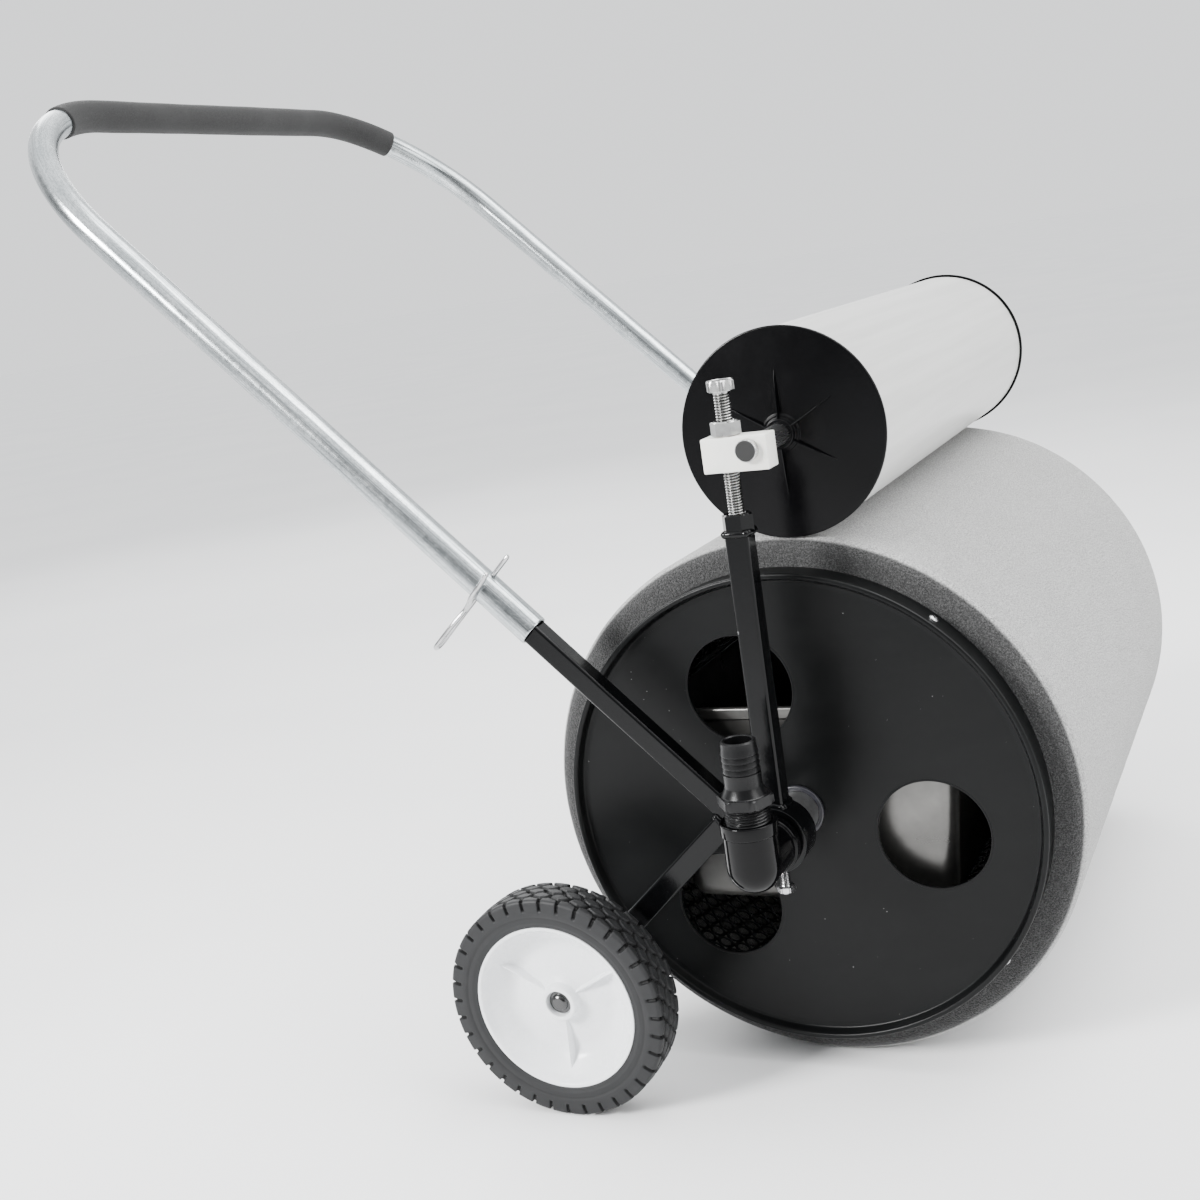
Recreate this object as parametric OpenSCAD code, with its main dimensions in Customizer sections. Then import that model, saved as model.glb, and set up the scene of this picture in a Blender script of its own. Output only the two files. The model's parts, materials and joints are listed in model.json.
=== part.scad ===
// Water removal roller: a foam covered drum picks water up, a squeeze roller presses it out,
// and a still tray inside the drum drains it through the hollow axle and an elbow.
// Millimetres, +X to the drain side, +Y forward, +Z up, floor at z = 0.

/* [Drum] */
// Outer diameter of the foam sleeve
foam_d = 428; // [400:1:440]
// Length of the foam sleeve
foam_l = 552; // [500:1:560]
// Radius on the two edges of the foam sleeve
foam_edge = 12; // [6:1:16]
// Outer diameter of the perforated drum shell
shell_d = 376; // [370:1:376]
// Diameter of the end plates over their rims
plate_d = 380; // [380:1:386]
// Distance over the rims of the two end plates
drum_l = 600; // [590:1:600]
// Depth of the end plate face behind its rim
plate_recess = 8; // [4:1:10]
// Diameter of the three round openings in each end plate
plate_hole_d = 86; // [70:1:92]
// Radius of the circle that the openings stand on
plate_hole_ring = 105; // [95:1:115]
// Angle of the first opening, from the front upwards
plate_hole_angle = 110; // [0:5:120]

/* [Squeeze roller] */
// Outer diameter of the plastic tube
press_d = 154; // [140:1:160]
// Length of the plastic tube
press_l = 544; // [500:1:548]
// Diameter of the end caps
press_cap_d = 159; // [156:1:164]
// How far the roller stands in front of the uprights
press_ahead = 18; // [14:1:24]
// Free height above the squeezing position
press_lift = 20; // [10:1:20]
// Diameter of the fixed shaft
press_shaft_d = 16; // [12:1:16]

/* [Frame] */
// Distance between the middle planes of the two side frames
frame_w = 682; // [680:1:690]
// Width of the square leg tubes that plug into the handle
leg_w = 17; // [14:1:17]
// Width of the square upright and wheel arm tubes
bar_w = 18; // [16:1:20]
// Wall of the square tubes
bar_wall = 1.5; // [1.2:0.1:2]
// Slope of the handle above the floor
handle_slope = 45.5; // [40:0.5:50]
// Outer diameter of the hub collars
collar_d = 51; // [48:1:54]
// Length of the hub collars
collar_l = 25; // [20:1:26]
// Thread diameter of the adjuster bolts
bolt_d = 12; // [10:1:12]

/* [Handle] */
// Outer diameter of the handle tube
handle_d = 25.4; // [25.4:0.1:27]
// Wall of the handle tube
handle_wall = 1.5; // [1:0.1:1.5]
// Distance from the drum axle to the cross bar, along the legs
handle_l = 902; // [700:1:950]
// Radius of the two bends, to the tube's middle
bend_r = 165; // [80:1:180]
// Outer diameter of the foam grip
grip_d = 29; // [28:0.5:32]

/* [Wheels] */
// Outer diameter of the tyres
tyre_d = 183; // [170:1:190]
// Width of the tyres
tyre_w = 38; // [32:1:40]
// Distance of the wheel axle behind the drum axle
wheel_back = 179; // [170:1:190]
// Diameter of the wheel axles
wheel_axle_d = 12.7; // [12:0.1:13]

/* [Drain] */
// Outer diameter of the hollow axle
pipe_d = 33.4; // [32:0.1:34]
// Outer diameter of the hose barb over its ridges
barb_d = 27.2; // [25:0.2:28]
// Distance from the mid plane to the elbow's standing leg
elbow_x = 398; // [396:1:400]

/* [Hidden] */
$fn = 96;
clear = 0.3;                        // gap between pieces that turn past each other
fit = 0.05;                         // radial running clearance of shafts in bores

foam_r = foam_d / 2;
shell_r = shell_d / 2;
shell_wall = 2;
plate_r = plate_d / 2;
plate_t = 2;
plate_rim = 4;                      // width of the rolled rim of an end plate
plate_back = foam_l / 2 + clear;    // where the flange of an end plate ends
face_x = drum_l / 2 - plate_recess;
press_r = press_d / 2;
press_wall = 3;
cap_t = 3.5;
cap_plug = 20;
rib_turn = 90;                      // angle of the first of the six ribs on a cap
rib_from = 11.5;
rib_to = 46;
rib_h = 5;
cap_boss_r = 12;
cap_boss_h = 7;
side_x = frame_w / 2;
pipe_r = pipe_d / 2;
pipe_bore = 26.6;
tyre_r = tyre_d / 2;
handle_r = handle_d / 2;
grip_r = grip_d / 2;
bolt_r = bolt_d / 2;
axle_r = wheel_axle_d / 2;

leg_turn = 180 - handle_slope;      // direction of the legs, from +Y towards +Z
leg_drop = 12.7;                    // the legs pass this far behind the drum axle
leg_start = 14;
leg_end = 335;
sleeve_end = 242;                   // where the handle tube begins
clip_at = 295;                      // where the hitch clips cross the handle
clip_d = 4;
clip_lean = -3;                     // lean of the clips off square, their eyes up the handle
arm_from = 35;                      // where the wheel arms leave the legs
grip_arc_right = 24;                // how far the grip runs round each bend, in degrees
grip_arc_left = 40;

// Place of the drum axle: the whole part is centred on its footprint
bar_y = handle_l * cos(leg_turn) - leg_drop * sin(leg_turn);
axle_y = (grip_r - bar_y - foam_r) / 2;
axle_z = foam_r;
wheel_y = -wheel_back;
wheel_z = tyre_r - foam_r;
press_z = sqrt(pow(foam_r + press_r + clear, 2) - pow(press_ahead, 2));

// Stack on each adjuster bolt, heights above the drum axle
block_bottom = press_z - 15;
block_top = press_z + 10;
block_back = 17;
block_front = 32.5;
block_t = 20;
nut_af = 19;
nut_h = 10.8;
head_h = 8;
head_z = block_top + nut_h + press_lift + 1;
upright_top = 231;
weld_nut_h = 14;
weld_nut_af = 20.5;
bolt_end = 212;

// Stations along the axle, outside the drum
collar_x = side_x - collar_l / 2 + 1.5;
pipe_end = 374;
elbow_in = collar_x + collar_l + 2;
socket_r = 21;
elbow_r = 20;
elbow_up = 34;
half_w = elbow_x + socket_r;
hex_z = 46;
hex_h = 7.6;
hex_af = 36;
barb_r = barb_d / 2;
barb_top = 94;
barb_land = 62;
barb_pitch = 4.4;
barb_depth = 0.9;
barb_bore = 20;
set_bolt_r = 4;

// Wheels
tyre_x = side_x + 28;
rim_r = 68;
tyre_round = 7;
hub_back = side_x + bar_w / 2 + 8;
hub_front = tyre_x + 24;            // end of the hub boss, inside the dish
hub_boss_r = 13;
spacer_r = 11;
push_nut_r = 9.5;
push_nut_h = 4.6;

// Tray inside the drum
tray_x = 272;
tray_t = 2;
tray_top = 78;
tray_bottom = -86;
tray_top_w = 250;
tray_bottom_w = 220;
tray_round = 12;
hem_h = 10;
hem_t = 2;

// The drum axle as origin, with children along the axle standing on +X
module axle() translate([0, axle_y, axle_z]) children();
module along_x(x) translate([x, 0, 0]) rotate([0, 90, 0]) children();
// The left side is the mirror image of the right side
module left() mirror([1, 0, 0]) children();
// Frame with +Y up along the handle legs and -Z on their upper side
module leg_line() axle() rotate([leg_turn, 0, 0]) translate([0, 0, leg_drop]) children();

// Place of a hitch clip, +Z along it to its eye
module clip_line(x) leg_line() translate([x, clip_at, 0]) rotate([clip_lean, 0, 0]) children();

module ring(r, bore, l) difference() {
    cylinder(r = r, h = l);
    translate([0, 0, -1]) cylinder(r = bore, h = l + 2);
}

module hex(af, h) cylinder(d = af / cos(30), h = h, $fn = 6);

// Square with rounded corners, made of exact pieces
module round_square(w, r) {
    square([w, w - 2 * r], center = true);
    square([w - 2 * r, w], center = true);
    for (x = [-1, 1], y = [-1, 1]) translate([x, y] * (w / 2 - r)) circle(r);
}

module square_tube(w, l) linear_extrude(l) difference() {
    round_square(w, 2.5);
    round_square(w - 2 * bar_wall, 1);
}

// ---- side frames

module collar() color("#151617") axle() difference() {
    along_x(collar_x) ring(collar_d / 2, pipe_r + fit, collar_l);
    translate([side_x, 0, -collar_d]) cylinder(r = set_bolt_r + fit, h = collar_d);
}

module collar_space() along_x(collar_x - 20) cylinder(r = collar_d / 2, h = collar_l + 40);

// Square tube with a saddle cut where it meets the collar and a hole for the hitch clip
module leg_tube() color("#17181a") difference() {
    leg_line() translate([side_x, leg_start, 0]) rotate([-90, 0, 0]) square_tube(leg_w, leg_end - leg_start);
    axle() collar_space();
    clip_line(side_x) translate([0, 0, -leg_w]) cylinder(r = clip_d / 2 + 0.4, h = 2 * leg_w);
}

module upright() color("#17181a") axle() difference() {
    translate([side_x, 0, 14]) square_tube(bar_w, upright_top - 14);
    collar_space();
}

arm_y = arm_from * cos(leg_turn) - leg_drop * sin(leg_turn);
arm_z = arm_from * sin(leg_turn) + leg_drop * cos(leg_turn);
arm_turn = atan2(wheel_z - arm_z, wheel_y - arm_y);
arm_l = norm([wheel_y - arm_y, wheel_z - arm_z]);

// From the underside of the leg down to the wheel, cut square past the wheel axle
module wheel_arm() color("#17181a") axle() difference() {
    translate([side_x, arm_y, arm_z]) rotate([arm_turn, 0, 0]) rotate([-90, 0, 0])
        square_tube(bar_w, arm_l + 13);
    collar_space();
    rotate([leg_turn, 0, 0]) translate([side_x - 15, 0, leg_drop - leg_w / 2]) cube([30, 90, leg_w]);
    rotate([leg_turn, 0, 0]) translate([side_x - 15, 0, leg_drop - leg_w / 2 - 30]) cube([30, 90, 31]);
    translate([0, wheel_y, wheel_z]) along_x(side_x - 20) cylinder(r = axle_r + fit, h = 40);
}

module weld_nut() color("#17181a") axle() translate([side_x, 0, upright_top]) difference() {
    hex(weld_nut_af, weld_nut_h);
    translate([0, 0, -1]) cylinder(r = bolt_r + fit, h = weld_nut_h + 2);
}

module adjuster_bolt() color("#b9bcbc") axle() translate([side_x, 0, 0]) {
    translate([0, 0, bolt_end]) cylinder(r = bolt_r, h = head_z - bolt_end);
    translate([0, 0, head_z]) hex(nut_af, head_h);
}

module set_bolt() color("#c4c6c6") axle() translate([side_x, 0, 0]) {
    translate([0, 0, -40.5]) cylinder(r = set_bolt_r, h = 40.5 - pipe_r - fit);
    translate([0, 0, -46]) hex(13, 5.5);
}

// ---- handle

module leg_pipe(r, from, to) translate([0, from, 0]) rotate([-90, 0, 0]) cylinder(r = r, h = to - from);

// Part of a bend: from the cross bar, turning down towards the leg
module bend(r, from, to) translate([side_x - bend_r, handle_l - bend_r, 0]) rotate([0, 0, 90 - to])
    rotate_extrude(angle = to - from) translate([bend_r, 0]) circle(r);

module handle_solid(r) {
    for (side = [0, 1]) mirror([side, 0, 0]) {
        translate([side_x, 0, 0]) leg_pipe(r, sleeve_end - (r < handle_r ? 1 : 0), handle_l - bend_r);
        bend(r, 0, 90);
    }
    cross_bar(r);
}

module handle_tube() color("#b7bcbf") difference() {
    leg_line() handle_solid(handle_r);
    leg_line() handle_solid(handle_r - handle_wall);
    for (x = [-side_x, side_x]) clip_line(x) translate([0, 0, -30]) cylinder(r = clip_d / 2 + 0.4, h = 60);
}

module cross_bar(r) translate([-side_x + bend_r, handle_l, 0]) rotate([0, 90, 0])
    cylinder(r = r, h = 2 * (side_x - bend_r));

module grip_run(r) {
    cross_bar(r);
    bend(r, 0, grip_arc_right);
    mirror([1, 0, 0]) bend(r, 0, grip_arc_left);
}

module handle_grip() color("#4a4b4b") leg_line() difference() {
    grip_run(grip_r);
    grip_run(handle_r);
}

// Hitch clip: a straight pin through the tube and a bowed outer leg, joined by a round eye
clip_gap = 9;
clip_out = handle_r + clip_d / 2 + 0.6;
module wire(from, to) translate(from) rotate([0, 90 - atan2(to[2] - from[2], to[0] - from[0]), 0])
    cylinder(d = clip_d, h = norm(to - from));
clip_pinch = 5;
clip_eye = 58;
clip_tip = -28;
clip_path = [[clip_gap, 0, clip_eye], [clip_gap, 0, 42], [clip_pinch, 0, 24], [clip_out, 0, 6],
    [clip_out, 0, -8], [clip_out + 4, 0, -20]];
module hitch_clip() color("#c8cbcb") clip_line(side_x) {
    wire([0, 0, clip_tip], [0, 0, clip_eye]);
    for (i = [0 : len(clip_path) - 2]) wire(clip_path[i], clip_path[i + 1]);
    for (i = [1 : len(clip_path) - 1]) translate(clip_path[i]) sphere(d = clip_d + 0.4);
    translate([clip_gap / 2, 0, clip_eye]) rotate([90, 0, 0]) rotate_extrude(angle = 180)
        translate([clip_gap / 2, 0]) circle(d = clip_d);
}

// ---- axle, tray and drain

module axle_pipe() color("#8e9396") axle() difference() {
    along_x(-pipe_end) cylinder(r = pipe_r, h = 2 * pipe_end);
    along_x(-pipe_end - 1) cylinder(d = pipe_bore, h = 2 * pipe_end + 2);
    for (x = [-200 : 50 : 200]) translate([x, 0, 0]) cylinder(r = 5, h = pipe_r + 1);
}

module pipe_cap() color("#141516") axle() left() difference() {
    union() {
        along_x(elbow_in) cylinder(r = socket_r, h = 42);
        along_x(elbow_in + 42) hex(30, half_w - elbow_in - 42);
    }
    along_x(elbow_in - 1) cylinder(r = pipe_r + fit, h = pipe_end - elbow_in + 1);
}

// Cross section of the tray with its height along +X, drawn in by the wall for the inside
module tray_outline(wall) polygon([for (side = [1, -1]) each [for (i = [0 : 2]) let (k = side > 0 ? i : 2 - i)
    [[tray_top + wall / 2, side * (tray_top_w / 2 - wall)],
        [tray_bottom + tray_round, side * (tray_bottom_w / 2 - wall)],
        [tray_bottom + wall, side * (tray_bottom_w / 2 - tray_round)]][k]]]);

// Open trough with a folded hem round its top, hung on the axle by two rings
module drip_tray() color("#b4b4ad") axle() difference() {
    union() {
        along_x(-tray_x) mirror([1, 0, 0]) linear_extrude(2 * tray_x) tray_outline(0);
        translate([-tray_x - hem_t, -tray_top_w / 2 - hem_t, tray_top - hem_h])
            cube([2 * (tray_x + hem_t), tray_top_w + 2 * hem_t, hem_h - 0.1]);
    }
    along_x(-tray_x + tray_t) mirror([1, 0, 0]) linear_extrude(2 * (tray_x - tray_t)) tray_outline(tray_t);
    along_x(-tray_x - 5) cylinder(r = pipe_r + fit, h = 2 * tray_x + 10);
}

module tray_rings() color("#85898b") axle() for (x = [-tray_x + tray_t, tray_x - tray_t - 16])
    along_x(x) ring(pipe_r + 6, pipe_r + fit, 16);

module drain_elbow() color("#131415") axle() difference() {
    union() {
        along_x(elbow_in) cylinder(r = socket_r + 1.5, h = 9);
        along_x(elbow_in) cylinder(r = elbow_r, h = elbow_x - elbow_in);
        translate([elbow_x, 0, 0]) sphere(r = elbow_r);
        translate([elbow_x, 0, 0]) cylinder(r = elbow_r, h = elbow_up);
        translate([elbow_x, 0, elbow_up - 9]) cylinder(r = socket_r, h = 9);
    }
    along_x(elbow_in - 1) cylinder(r = pipe_r + fit, h = pipe_end + 0.5 - elbow_in + 1);
    along_x(elbow_in) cylinder(r = 12, h = elbow_x - elbow_in);
    translate([elbow_x, 0, 0]) sphere(r = 12);
    translate([elbow_x, 0, 0]) cylinder(r = 12, h = elbow_up + 1);
    translate([elbow_x, 0, elbow_up - 18]) cylinder(r = pipe_r, h = 20);
}

// Half section of the barb, from the shoulder up: a smooth land, then saw tooth ridges
barb_ridges = floor((barb_top - barb_land - 8) / barb_pitch);
barb_points = concat(
    [[0, hex_z + 1], [17, hex_z + 1], [17, hex_z + hex_h], [barb_r, barb_land - 2], [barb_r, barb_land + 8]],
    [for (i = [0 : barb_ridges - 1]) let (z = barb_land + 8 + i * barb_pitch) each
        [[barb_r - barb_depth, z + 0.4], [barb_r, z + 1.6], [barb_r - barb_depth + 0.2, z + barb_pitch]]],
    [[barb_r - 2, barb_top], [0, barb_top]]);

module hose_barb() color("#1c1d1f") axle() translate([elbow_x, 0, 0]) difference() {
    union() {
        translate([0, 0, elbow_up - 18]) cylinder(r = pipe_r, h = hex_z - elbow_up + 19);
        translate([0, 0, hex_z]) rotate([0, 0, 38]) hex(hex_af, hex_h);
        rotate_extrude() polygon(barb_points);
    }
    translate([0, 0, elbow_up - 19]) cylinder(d = barb_bore, h = 100);
}

// ---- wheels

module wheel_place() axle() translate([0, wheel_y, wheel_z]) children();

module wheel_axle() color("#2a2b2c") wheel_place() along_x(side_x - bar_w / 2)
    cylinder(r = axle_r, h = hub_front + 3.5 - side_x + bar_w / 2);

module wheel_spacer() color("#d9d9d4") wheel_place() along_x(side_x + bar_w / 2)
    ring(spacer_r, axle_r + fit, hub_back - clear - side_x - bar_w / 2);

module push_nut() color("#1b1c1d") wheel_place() along_x(hub_front + clear) difference() {
    cylinder(r = push_nut_r, h = push_nut_h);
    translate([0, 0, -1]) cylinder(r = axle_r + fit, h = push_nut_h - 0.1);
}

// Hub: rim band, a web that falls from the boss to a valley and climbs to the rim, and three fins
hub_points = [[axle_r + fit, hub_back], [14, hub_back], [14, hub_back + 26], [46, tyre_x + 11],
    [rim_r - 8, tyre_x + 22], [rim_r - 6, tyre_x + 3], [rim_r, tyre_x + 3], [rim_r, tyre_x + tyre_w - 2],
    [rim_r - 3, tyre_x + tyre_w - 2], [rim_r - 6, tyre_x + 29], [46, tyre_x + 15], [20, tyre_x + 20],
    [hub_boss_r + 1, hub_front - 2.5], [hub_boss_r, hub_front], [axle_r + fit, hub_front]];
fin_points = [[hub_boss_r - 1, tyre_x + 18], [hub_boss_r - 1, hub_front - 2], [57, hub_front - 2],
    [57, tyre_x + 21], [46, tyre_x + 13]];
fin_t = 2;
module wheel_hub() color("#eceeee") wheel_place() {
    rotate([90, 0, 90]) rotate_extrude() polygon(hub_points);
    for (turn = [30, 150, 270]) rotate([turn, 0, 0]) rotate([90, 0, 90]) rotate([90, 0, 0])
        translate([0, 0, -fin_t / 2]) linear_extrude(fin_t) polygon(fin_points);
}

module tyre() color("#1b1c1c") wheel_place() rotate([90, 0, 90]) rotate_extrude() {
    translate([rim_r, tyre_x + tyre_round])
        square([tyre_r - rim_r, tyre_w - 2 * tyre_round]);
    translate([rim_r, tyre_x]) square([tyre_r - rim_r - tyre_round, tyre_w]);
    for (x = [tyre_round, tyre_w - tyre_round]) translate([tyre_r - tyre_round, tyre_x + x])
        circle(tyre_round);
}

// ---- squeeze roller and its adjusters

module press_place() axle() translate([0, press_ahead, press_z]) children();

module adjuster_nut() color("#c0c2c2") axle() translate([side_x, 0, block_top + fit]) difference() {
    hex(nut_af, nut_h);
    translate([0, 0, -1]) cylinder(r = bolt_r + fit, h = nut_h + 2);
}

module slide_block() color("#efeeea") axle() difference() {
    translate([side_x - block_t / 2, -block_back, block_bottom])
        cube([block_t, block_back + block_front, block_top - block_bottom]);
    translate([side_x, 0, block_bottom - 1]) cylinder(r = bolt_r + fit, h = 40);
    translate([0, press_ahead, press_z]) along_x(side_x - block_t)
        cylinder(r = press_shaft_d / 2 + fit, h = 2 * block_t);
}

module press_shaft() color("#9fa3a5") press_place() along_x(-side_x - 16)
    cylinder(d = press_shaft_d, h = 2 * side_x + 32);

module press_tube() color("#e4e4e1") press_place() along_x(-press_l / 2)
    ring(press_r, press_r - press_wall, press_l);

// End cap: disc, plug inside the tube, boss round the shaft and six radial ribs
module press_cap() color("#101112") press_place() {
    along_x(press_l / 2) ring(press_cap_d / 2, press_shaft_d / 2 + fit, cap_t);
    along_x(press_l / 2 - cap_plug) ring(press_r - press_wall - 0.1, press_r - press_wall - 4, cap_plug);
    along_x(press_l / 2 - cap_plug) ring(cap_boss_r + 1, press_shaft_d / 2 + fit, cap_plug);
    along_x(press_l / 2 + cap_t) ring(cap_boss_r, press_shaft_d / 2 + fit, cap_boss_h);
    for (i = [0 : 5]) rotate([rib_turn + 60 * i, 0, 0]) translate([press_l / 2 + cap_t, 0, -1])
        linear_extrude(2) polygon([[-1, rib_from], [rib_h, rib_from], [0.4, rib_to], [-1, rib_to]]);
}

// ---- drum

shell_end = face_x - plate_t - 1;
module drum_shell() color("#3a3d3f") axle() along_x(-shell_end)
    ring(shell_r, shell_r - shell_wall, 2 * shell_end);

module foam_sleeve() color("#9d9f9e") axle() rotate([90, 0, 90]) rotate_extrude($fn = 144) {
    translate([shell_r + 0.1, -foam_l / 2]) square([foam_r - shell_r - 0.1 - foam_edge, foam_l]);
    translate([shell_r + 0.1, -foam_l / 2 + foam_edge])
        square([foam_r - shell_r - 0.1, foam_l - 2 * foam_edge]);
    for (x = [-1, 1]) translate([foam_r - foam_edge, x * (foam_l / 2 - foam_edge)]) circle(foam_edge);
}

// Pan shaped end plate: recessed face, rolled rim and a flange over the end of the shell
rim_x = drum_l / 2;
rim_in = plate_r - plate_rim;
flange_t = 1.9;
screw_turn = 51;
module end_plate() color("#0e0f10") axle() difference() {
    union() {
        along_x(plate_back) ring(plate_r, plate_r - flange_t, rim_x - 2 - plate_back);
        along_x(face_x - plate_t) ring(rim_in - 1.5, 19, plate_t);
        rotate([90, 0, 90]) rotate_extrude() polygon([[rim_in - 2.8, face_x - plate_t],
            [rim_in - 0.8, face_x - plate_t], [rim_in + 1.4, rim_x - 2.6], [plate_r - 0.4, rim_x - 2.6],
            [plate_r, rim_x - 2], [plate_r - 1.4, rim_x], [rim_in + 0.4, rim_x], [rim_in - 2.8, face_x]]);
    }
    for (i = [0 : 2]) rotate([plate_hole_angle + 120 * i, 0, 0]) translate([0, plate_hole_ring, 0])
        along_x(face_x - 5) cylinder(d = plate_hole_d, h = 10);
}

// Round head screws through the flanges, four on each side
module plate_screws() color("#c9cccc") axle() for (side = [-1, 1], i = [0 : 3])
    rotate([screw_turn + 90 * i, 0, 0]) translate([side * (rim_x - 12), plate_r, 0]) rotate([-90, 0, 0])
        cylinder(r1 = 4, r2 = 2.5, h = 2.2);

// Flanged bush in the middle of each end plate, running on the axle
module bushing() color("#d5d6d4") axle() {
    along_x(face_x - 14) ring(18.9, pipe_r + fit, 14);
    along_x(face_x) ring(20.5, pipe_r + fit, 3);
}

collar();  // collar_right
left() collar();  // collar_left
leg_tube();  // leg_tube_right
left() leg_tube();  // leg_tube_left
upright();  // upright_right
left() upright();  // upright_left
wheel_arm();  // wheel_arm_right
left() wheel_arm();  // wheel_arm_left
weld_nut();  // weld_nut_right
left() weld_nut();  // weld_nut_left
adjuster_bolt();  // adjuster_bolt_right
left() adjuster_bolt();  // adjuster_bolt_left
set_bolt();  // set_bolt_right
left() set_bolt();  // set_bolt_left
handle_tube();
handle_grip();
hitch_clip();  // hitch_clip_right
left() hitch_clip();  // hitch_clip_left
axle_pipe();
pipe_cap();
drip_tray();
tray_rings();
wheel_axle();  // wheel_axle_right
left() wheel_axle();  // wheel_axle_left
wheel_spacer();  // wheel_spacer_right
left() wheel_spacer();  // wheel_spacer_left
push_nut();  // push_nut_right
left() push_nut();  // push_nut_left
adjuster_nut();  // adjuster_nut_right
left() adjuster_nut();  // adjuster_nut_left
slide_block();  // slide_block_right
left() slide_block();  // slide_block_left
press_shaft();
press_tube();
press_cap();  // press_cap_right
left() press_cap();  // press_cap_left
drum_shell();
foam_sleeve();
end_plate();  // end_plate_right
left() end_plate();  // end_plate_left
plate_screws();
bushing();  // bushing_right
left() bushing();  // bushing_left
wheel_hub();  // wheel_hub_right
tyre();  // tyre_right
left() wheel_hub();  // wheel_hub_left
left() tyre();  // tyre_left
drain_elbow();
hose_barb();
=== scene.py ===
import json
import math

import bmesh
import bpy
import numpy as np
from mathutils import Matrix, Vector


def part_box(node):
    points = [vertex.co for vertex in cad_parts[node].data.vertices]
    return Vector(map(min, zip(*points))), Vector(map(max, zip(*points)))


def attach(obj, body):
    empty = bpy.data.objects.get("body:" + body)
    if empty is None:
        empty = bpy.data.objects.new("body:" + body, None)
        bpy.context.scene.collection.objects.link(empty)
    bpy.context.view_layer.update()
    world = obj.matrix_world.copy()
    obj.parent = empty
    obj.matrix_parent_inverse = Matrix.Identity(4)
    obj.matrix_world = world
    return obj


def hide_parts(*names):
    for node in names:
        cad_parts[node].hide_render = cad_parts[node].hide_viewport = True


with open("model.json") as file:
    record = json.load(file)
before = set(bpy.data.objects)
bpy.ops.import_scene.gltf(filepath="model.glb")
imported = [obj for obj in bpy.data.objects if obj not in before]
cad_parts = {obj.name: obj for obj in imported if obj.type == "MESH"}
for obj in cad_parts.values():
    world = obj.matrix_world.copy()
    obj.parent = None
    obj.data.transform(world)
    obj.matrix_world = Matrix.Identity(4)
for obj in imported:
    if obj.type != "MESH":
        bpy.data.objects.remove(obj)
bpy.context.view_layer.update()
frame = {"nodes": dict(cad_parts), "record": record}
print("frame loaded")

# Everything below is written in millimetres from the drum axle: x to the drain side, y forward, z up
pipeLow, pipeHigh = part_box("axle_pipe")
axleY, axleZ = (pipeLow.y + pipeHigh.y) / 2, (pipeLow.z + pipeHigh.z) / 2
turn = 2 * math.pi


def middle(node):
    # half way between the lowest and highest corners of a solid
    low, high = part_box(node)
    mid = (low + high) / 2
    return np.array([mid.x, mid.y - axleY, mid.z - axleZ]) * 1000


def edge(node, axis, high=True):
    # how far a solid reaches along one axis, at its high or its low end
    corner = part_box(node)[1 if high else 0]
    return (corner[axis] - (0, axleY, axleZ)[axis]) * 1000


class Field:
    # a socket that takes part in Python expressions: each operator adds its Math node

    def __init__(self, socket):
        self.socket = socket

    def maths(self, operation, *values):
        return addNode(self.socket.id_data, "Math", {"operation": operation}, dict(enumerate(values)))

    def __add__(self, other):
        return self.maths("ADD", self, other)

    def __sub__(self, other):
        return self.maths("SUBTRACT", self, other)

    def __rsub__(self, other):
        return self.maths("SUBTRACT", other, self)

    def __mul__(self, other):
        return self.maths("MULTIPLY", self, other)

    def __abs__(self):
        return self.maths("ABSOLUTE", self)

    __radd__ = __add__
    __rmul__ = __mul__

    def ramp(self, low, high):
        # 0 at low, 1 at high, smooth between; low may be the larger
        return addNode(self.socket.id_data, "MapRange", {"interpolation_type": "SMOOTHSTEP"},
                       {"Value": self, "From Min": low, "From Max": high, "To Min": 0.0, "To Max": 1.0})


def addNode(tree, kind, settings=(), inputs=(), output=0):
    # a node of one type: its settings first, then a number or a link for each named socket
    node = tree.nodes.new("ShaderNode" + kind)
    for key, value in dict(settings).items():
        setattr(node, key, value)
    for key, value in dict(inputs).items():
        if isinstance(value, Field):
            tree.links.new(value.socket, node.inputs[key])
        else:
            node.inputs[key].default_value = value
    return Field(node.outputs[output])


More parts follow.
